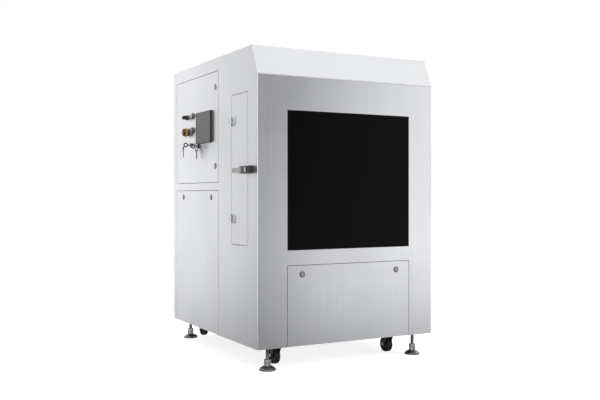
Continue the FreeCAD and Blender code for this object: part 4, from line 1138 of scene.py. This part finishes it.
    def lock(self, node: str, body: str, axis: Vector) -> None:
        """Dress a lock and set it in a dark rosette: a trim ring whose dark colour is partly its own and
        partly a painted shadow round the lock's head.

        Args:
            node: The lock's CAD node, which is also its body.
            body: The door or panel that carries it.
            axis: The direction that the door or panel looks in.
        """
        self.dress({node: LOCK_FACE})
        ring = bmesh.new()
        self.trim_ring(ring, pivot(node), axis, self.rosette_bore, self.rosette_radius, self.rosette_height)
        # The rosette's dark colour is partly a painted shadow round the lock's head.
        self.add(node + "_rosette", ring, DARK_PLATING_AND_PAINTED_SHADOW, body, Slot.PLATED_STEEL)


@dataclass
class LiftOffPanels(SubAssembly):
    """The lower panels on the left side and the front, with their locks."""

    switches: ControlDoor
    seal_wide: float = 0.016
    seal_thick: float = 0.003
    seal_edge: float = 0.0006
    seal_gap: float = 0.001
    seal_from_bottom: float = 0.064
    seal_from_top: float = 0.070

    def build(self) -> None:
        """Dress the panels, set their locks in rosettes and seal the front panel's gaps."""
        self.dress({"side_panel": SKIN, "front_panel": FRONT_SKIN})
        for lock in ("side_lock_front", "side_lock_rear"):
            self.switches.lock(lock, "side_panel", LEFT)
        for lock in ("front_lock_left", "front_lock_right"):
            self.switches.lock(lock, "front_panel", FRONT)
        self.seals()

    def seals(self) -> None:
        """Foam strips behind the front panel's upright edges, so that no light comes through the gaps."""
        low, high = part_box("front_panel")
        start = high.y + self.seal_gap
        strips = bmesh.new()
        for edge in (low.x, high.x):
            near = Vector((edge - self.seal_wide / 2, start, low.z + self.seal_from_bottom))
            far = Vector((edge + self.seal_wide / 2, start + self.seal_thick, high.z - self.seal_from_top))
            bevelled_bar(strips, near, far, self.seal_edge)
        self.add("front_panel_seals", strips, BLACK, "cabinet", Slot.BLACK_PLASTIC)


@dataclass
class Chamber(SubAssembly):
    """The build chamber, what moves in it, and the units round it."""

    thread_pitch: float = 0.010
    thread_depth: float = 0.0016
    crest_width: float = 0.0045
    root_start: float = 0.0060
    root_end: float = 0.0085

    def build(self) -> None:
        """Dress the chamber and cut the ball screw's thread."""
        self.dress({
            "deck_plate": CHAMBER_SHEET, "resin_vat": CHAMBER_SHEET, "chamber_walls": CHAMBER_SHEET,
            "build_platform": CHAMBER_SHEET, "optics_plate": ALLOY, "z_column": ALLOY, "z_carriage": ALLOY,
            "recoater": ALLOY, "laser_head": ALLOY, "z_motor": BLACK_PAINT, "scan_head": BLACK_PAINT,
            "linear_rails": ZINC, "control_units": UNIT_PAINT,
        })
        low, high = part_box("z_screw")
        base = middle("z_screw")
        base.z = low.z
        radius = (high.x - low.x) / 2
        length = high.z - low.z
        root = radius - self.thread_depth
        profile = [(0.0, 0.0)]
        for turn in range(int(length / self.thread_pitch)):
            start = turn * self.thread_pitch
            profile += [(radius, start), (radius, start + self.crest_width)]
            profile += [(root, start + self.root_start), (root, start + self.root_end)]
        profile += [(radius, length), (0.0, length)]
        screw = bmesh.new()
        lathe(screw, base, UP, profile, sides=20)
        self.add("threaded_screw", screw, THREAD, "z_screw", Slot.ZINC_STEEL, ("z_screw",))


@dataclass
class Underside(SubAssembly):
    """The levelling feet and the casters."""

    corners: tuple[str, ...] = ("front_left", "front_right", "rear_left", "rear_right")
    smooth_under: float = 32.0
    pad_radius: float = 0.049
    sole_height: float = 0.006
    sole_edge: float = 0.0015
    sole_seam: float = 0.0004
    rim_radius: float = 0.048
    rim_height: float = 0.0105
    rim_edge: float = 0.001
    bell_top: float = 0.027
    bell_bulge: float = 0.12
    bell_steps: int = 8
    collar_radius: float = 0.020
    collar_top: float = 0.049
    collar_edge: float = 0.0016
    nut_across: float = 0.036
    nut_height: float = 0.017
    stem_radius: float = 0.011
    stem_pitch: float = 0.0025
    stem_depth: float = 0.0006
    wheel_radius: float = 0.050
    wheel_half: float = 0.018
    wheel_slope: float = 0.001
    tread_round: float = 0.0065
    tread_start: float = 0.041
    hub_radius: float = 0.016
    hub_edge: float = 0.0015
    web_half: float = 0.0095
    web_rise: float = 0.002
    web_fillet: float = 0.004
    leg_outside: float = 0.025
    bolt_across: float = 0.016
    bolt_height: float = 0.0032
    washer_radius: float = 0.00992
    washer_height: float = 0.0012
    washer_edge: float = 0.0005

    def build(self) -> None:
        """Dress the casters' frames and build the feet and wheels."""
        self.dress({"caster_plates": BLACK_PAINT})
        for corner in self.corners:
            self.dress({"caster_fork_" + corner: BLACK_PAINT})
            self.foot(corner)
            self.wheel(corner)
            self.axle_bolts(corner)

    def foot(self, corner: str) -> None:
        """Build a foot: a bell-shaped pad on its sole, a hexagon lock nut and a threaded stem.

        Args:
            corner: The corner of the cabinet that it carries.
        """
        node = "foot_" + corner
        low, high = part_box(node)
        base = middle(node)
        base.z = low.z
        rim = self.rim_radius
        profile = [(0.0, 0.0), (self.pad_radius - self.sole_edge, 0.0), (self.pad_radius, self.sole_edge)]
        profile += [(self.pad_radius, self.sole_height), (rim, self.sole_height + self.sole_seam)]
        profile += [(rim, self.rim_height - self.rim_edge), (rim - self.rim_edge, self.rim_height)]
        profile += self.bell(rim - self.rim_edge)
        profile += [(self.collar_radius, self.collar_top - self.collar_edge)]
        profile += [(self.collar_radius - self.collar_edge, self.collar_top), (0.0, self.collar_top)]
        mesh = bmesh.new()
        lathe(mesh, base, UP, profile)
        hexagon_bar(mesh, base + UP * self.collar_top, UP, self.nut_across, self.nut_height)
        self.stem(mesh, base, self.collar_top + self.nut_height, high.z - low.z)
        self.add("levelling_" + node, mesh, FOOT, node, Slot.FOOT_STEEL, (node,), self.smooth_under)

    def bell(self, start: float) -> list[tuple[float, float]]:
        """Draw the pad's bell from its rim up to the collar.

        Args:
            start: The radius at its rim.

        Returns:
            Points as (radius, height).
        """
        span = start - self.collar_radius
        rise = self.bell_top - self.rim_height
        outline = []
        for step in range(1, self.bell_steps + 1):
            share = step / self.bell_steps
            height = rise * (share + self.bell_bulge * math.sin(math.pi * share))
            outline.append((start - span * share, self.rim_height + height))
        return outline

    def stem(self, mesh: bmesh.types.BMesh, base: Vector, start: float, end: float) -> None:
        """Add a foot's stem with a thread of close grooves.

        Args:
            mesh: The mesh that is added to.
            base: The middle of the foot's sole.
            start: How high over the sole the thread starts.
            end: How high over the sole it ends.
        """
        groove = self.stem_radius - self.stem_depth
        profile = [(0.0, start)]
        turns = int((end - start) / self.stem_pitch)
        for turn in range(turns):
            height = start + turn * self.stem_pitch
            profile += [(groove, height), (self.stem_radius, height + 0.5 * self.stem_pitch)]
        profile += [(groove, start + turns * self.stem_pitch), (groove, end), (0.0, end)]
        lathe(mesh, base, UP, profile, sides=24)

    def wheel(self, corner: str) -> None:
        """Build a wheel with a rounded tread, a dished web and a hub.

        Args:
            corner: The corner of the cabinet that its caster is under.
        """
        node = "caster_wheel_" + corner
        half = self.wheel_half
        hub = self.hub_radius
        tread = self.tread_start
        slope = self.wheel_slope
        web = self.web_half
        side = [(0.0, half), (hub - self.hub_edge, half), (hub, half - self.hub_edge)]
        side += [(hub + slope, web + self.web_rise), (hub + self.web_fillet, web)]
        side += [(tread - self.web_fillet, web), (tread - slope, web + self.web_rise)]
        side += [(tread, half - slope), (tread + slope, half)]
        shoulder = half - self.tread_round
        over = round_corner(self.tread_round)[::-1]
        side += [(self.wheel_radius - inward, shoulder + upward) for inward, upward in over]
        profile = [(radius, -out) for radius, out in side] + side[::-1]
        mesh = bmesh.new()
        lathe(mesh, pivot(node), RIGHT, profile)
        self.add("rubber_" + node, mesh, RUBBER, node, Slot.WHEEL_RUBBER, (node,), self.smooth_under)

    def axle_bolts(self, corner: str) -> None:
        """Build the bolt heads and washers at both ends of a caster's axle.

        Args:
            corner: The corner of the cabinet that the caster is under.
        """
        centre = pivot("caster_wheel_" + corner)
        washer = domed_edge(self.washer_radius, 0.0, self.washer_height, self.washer_edge)
        bolts = bmesh.new()
        for axis in (LEFT, RIGHT):
            outside = centre + axis * self.leg_outside
            lathe(bolts, outside, axis, washer, sides=28)
            head = outside + axis * self.washer_height
            hexagon_bar(bolts, head, axis, self.bolt_across, self.bolt_height)
        self.add("caster_bolts_" + corner, bolts, ZINC, "caster_fork_" + corner, Slot.ZINC_STEEL)


@dataclass
class Floor:
    """A plain floor that the camera sees as white but that keeps the part's shadow."""

    size: float = 60.0
    glow: float = 0.80
    colour: Colour = (0.80, 0.80, 0.80)
    unseen_colour: Colour = (0.42, 0.42, 0.42)

    def build(self) -> None:
        """Lay the floor."""
        half = self.size / 2
        mesh = bpy.data.meshes.new("studio_floor")
        corners = [(-half, -half, 0.0), (half, -half, 0.0), (half, half, 0.0), (-half, half, 0.0)]
        mesh.from_pydata(corners, [], [(0, 1, 2, 3)])
        mesh.materials.append(self.material())
        floor_object = bpy.data.objects.new("studio_floor", mesh)
        bpy.context.scene.collection.objects.link(floor_object)
        floor_object.visible_glossy = False

    def material(self) -> bpy.types.Material:
        """Make the floor's material.

        Returns:
            A material that glows for the camera alone.
        """
        material = bpy.data.materials.new("studio_floor")
        material.use_nodes = True
        sheet = NodeSheet(material.node_tree)
        matt = sheet.node("ShaderNodeBsdfDiffuse", sockets={"Color": opaque(self.colour)})
        glow = sheet.node("ShaderNodeEmission", sockets={"Strength": self.glow})
        seen = sheet.node("ShaderNodeAddShader", sockets={0: matt, 1: glow})
        camera = sheet.node("ShaderNodeLightPath", output="Is Camera Ray")
        unseen = sheet.node("ShaderNodeBsdfDiffuse", sockets={"Color": opaque(self.unseen_colour)})
        floor = sheet.node("ShaderNodeMixShader", sockets={0: camera, 1: unseen, 2: seen})
        sheet.node("ShaderNodeOutputMaterial", sockets={"Surface": floor})
        return material


@dataclass
class Surround:
    """White to the camera; to polished surfaces, a room with a dim front and a bright band behind.

    A span holds the two coordinates of a direction between which the room's brightness changes: nothing of
    the change at the first, all of it at the second.
    """

    ambient: float = 0.62
    front_level: float = 0.27
    front_right_span: Span = (0.455, 0.52)
    front_right_lean: float = 0.30
    front_right_gain: float = 0.97
    front_left_span: Span = (0.02, -0.20)
    front_left_gain: float = 1.50
    rear_span: Span = (-0.46, -0.27)
    rear_gain: float = 3.35
    rear_right_span: Span = (0.0, 0.35)
    rear_right_loss: float = 2.45
    rear_left_span: Span = (-0.70, -0.95)
    rear_left_gain: float = 0.50
    front_to_rear_span: Span = (-0.15, 0.15)
    ceiling_span: Span = (0.20, 0.45)
    ceiling_level: float = 0.98
    ceiling_right_span: Span = (0.22, 0.42)
    ceiling_right_gain: float = 0.30
    bounce_span: Span = (-0.02, -0.10)
    bounce_gain: float = 0.24
    ground_span: Span = (-0.19, -0.12)
    ground_level: float = 0.14

    def build(self) -> None:
        """Make the surround the scene's world."""
        world = bpy.data.worlds.new("studio")
        world.use_nodes = True
        bpy.context.scene.world = world
        sheet = NodeSheet(world.node_tree)
        camera = sheet.node("ShaderNodeLightPath", output="Is Camera Ray")
        glossy = sheet.node("ShaderNodeLightPath", output="Is Glossy Ray")
        through = sheet.node("ShaderNodeLightPath", output="Is Transmission Ray")
        ambient = (self.ambient, self.ambient, self.ambient)
        polished = sheet.mix_colour(glossy + through, ambient, self.room(sheet))
        colour = sheet.mix_colour(camera, polished, WHITE)
        background = sheet.node("ShaderNodeBackground", sockets={"Color": colour})
        sheet.node("ShaderNodeOutputWorld", sockets={"Surface": background})

    def room(self, sheet: NodeSheet) -> Signal:
        """Work out how bright the room is in every direction.

        Args:
            sheet: The world's sheet.

        Returns:
            The brightness.
        """
        way = sheet.node("ShaderNodeTexCoord", output="Generated")
        x = sheet.node("ShaderNodeSeparateXYZ", sockets={0: way}, output="X")
        y = sheet.node("ShaderNodeSeparateXYZ", sockets={0: way}, output="Y")
        z = sheet.node("ShaderNodeSeparateXYZ", sockets={0: way}, output="Z")
        front = self.front(sheet, x, z)
        rear = self.rear(sheet, x)
        walls = front + sheet.between(y, *self.front_to_rear_span) * (rear - front)
        ceiling = sheet.between(x, *self.ceiling_right_span) * self.ceiling_right_gain + self.ceiling_level
        upper = walls + sheet.between(z, *self.ceiling_span) * (ceiling - walls)
        bounce = sheet.between(z, *self.bounce_span) * self.bounce_gain + 1.0
        ground = sheet.between(z, *self.ground_span) * (1.0 - self.ground_level) + self.ground_level
        return upper * bounce * ground

    def front(self, sheet: NodeSheet, x: Signal, z: Signal) -> Signal:
        """Work out the front wall's brightness.

        Args:
            sheet: The world's sheet.
            x: How far a direction points to the right.
            z: How far it points up.

        Returns:
            A dim wall with a pale right end, which leans, and a pale left end.
        """
        leaning = x - self.front_right_lean * z
        right = sheet.between(leaning, *self.front_right_span) * self.front_right_gain
        left = sheet.between(x, *self.front_left_span) * self.front_left_gain
        return right + self.front_level + left

    def rear(self, sheet: NodeSheet, x: Signal) -> Signal:
        """Work out the rear wall's brightness.

        Args:
            sheet: The world's sheet.
            x: How far a direction points to the right.

        Returns:
            A wall with a bright band left of its middle, pale to the right of it and dark to the left.
        """
        left = sheet.between(x, *self.rear_left_span) * self.rear_left_gain
        right = sheet.between(x, *self.rear_right_span) * self.rear_right_loss
        return sheet.between(x, *self.rear_span) * self.rear_gain + (left - right)


@dataclass
class Softbox:
    """A large square lamp that points at the part."""

    name: str
    place: Point
    size: float
    watts: float
    target: Point = (0.0, 0.0, 0.9)

    def build(self) -> None:
        """Hang the lamp."""
        lamp = bpy.data.lights.new(self.name, "AREA")
        lamp.shape = "SQUARE"
        lamp.size = self.size
        lamp.energy = self.watts
        holder = bpy.data.objects.new(self.name, lamp)
        bpy.context.scene.collection.objects.link(holder)
        holder.location = self.place
        holder.visible_glossy = False
        towards = Vector(self.target) - Vector(self.place)
        holder.rotation_euler = towards.to_track_quat("-Z", "Y").to_euler()


@dataclass
class PhotoCamera:
    """A level camera in front of the part's left corner, about as high as its middle."""

    place: Point = (-2.5704, -4.8821, 1.0171)
    turn: float = 28.4
    lens: float = 48.88
    sensor_width: float = 36.0
    shift_up: float = -0.0081

    def build(self) -> None:
        """Add the camera and make it the scene's own."""
        data = bpy.data.cameras.new("photo_camera")
        data.lens = self.lens
        data.sensor_width = self.sensor_width
        data.shift_y = self.shift_up
        data.dof.use_dof = False
        camera = bpy.data.objects.new("photo_camera", data)
        camera.location = self.place
        camera.rotation_euler = Euler((math.radians(90.0), 0.0, math.radians(-self.turn)))
        bpy.context.scene.collection.objects.link(camera)
        bpy.context.scene.camera = camera


def main() -> None:
    """Build and dress every sub-assembly, then the studio and the camera."""
    logging.basicConfig(level=logging.INFO, format="%(name)s: %(message)s")
    bpy.context.scene.view_settings.view_transform = "Standard"
    cabinet = Cabinet()
    switches = ControlDoor()
    printer = (
        cabinet, WindowDoor(), InspectionDoor(cabinet), switches, LiftOffPanels(switches), Chamber(),
        Underside(),
    )
    key = Softbox("key_softbox", (4.2, -4.6, 3.2), size=3.0, watts=120.0)
    top = Softbox("top_softbox", (0.0, 0.4, 5.0), size=4.0, watts=130.0)
    for assembly in printer + (Floor(), Surround(), key, top, PhotoCamera()):
        assembly.build()
        LOG.info("finished %s", type(assembly).__name__)


if __name__ == "__main__":
    main()
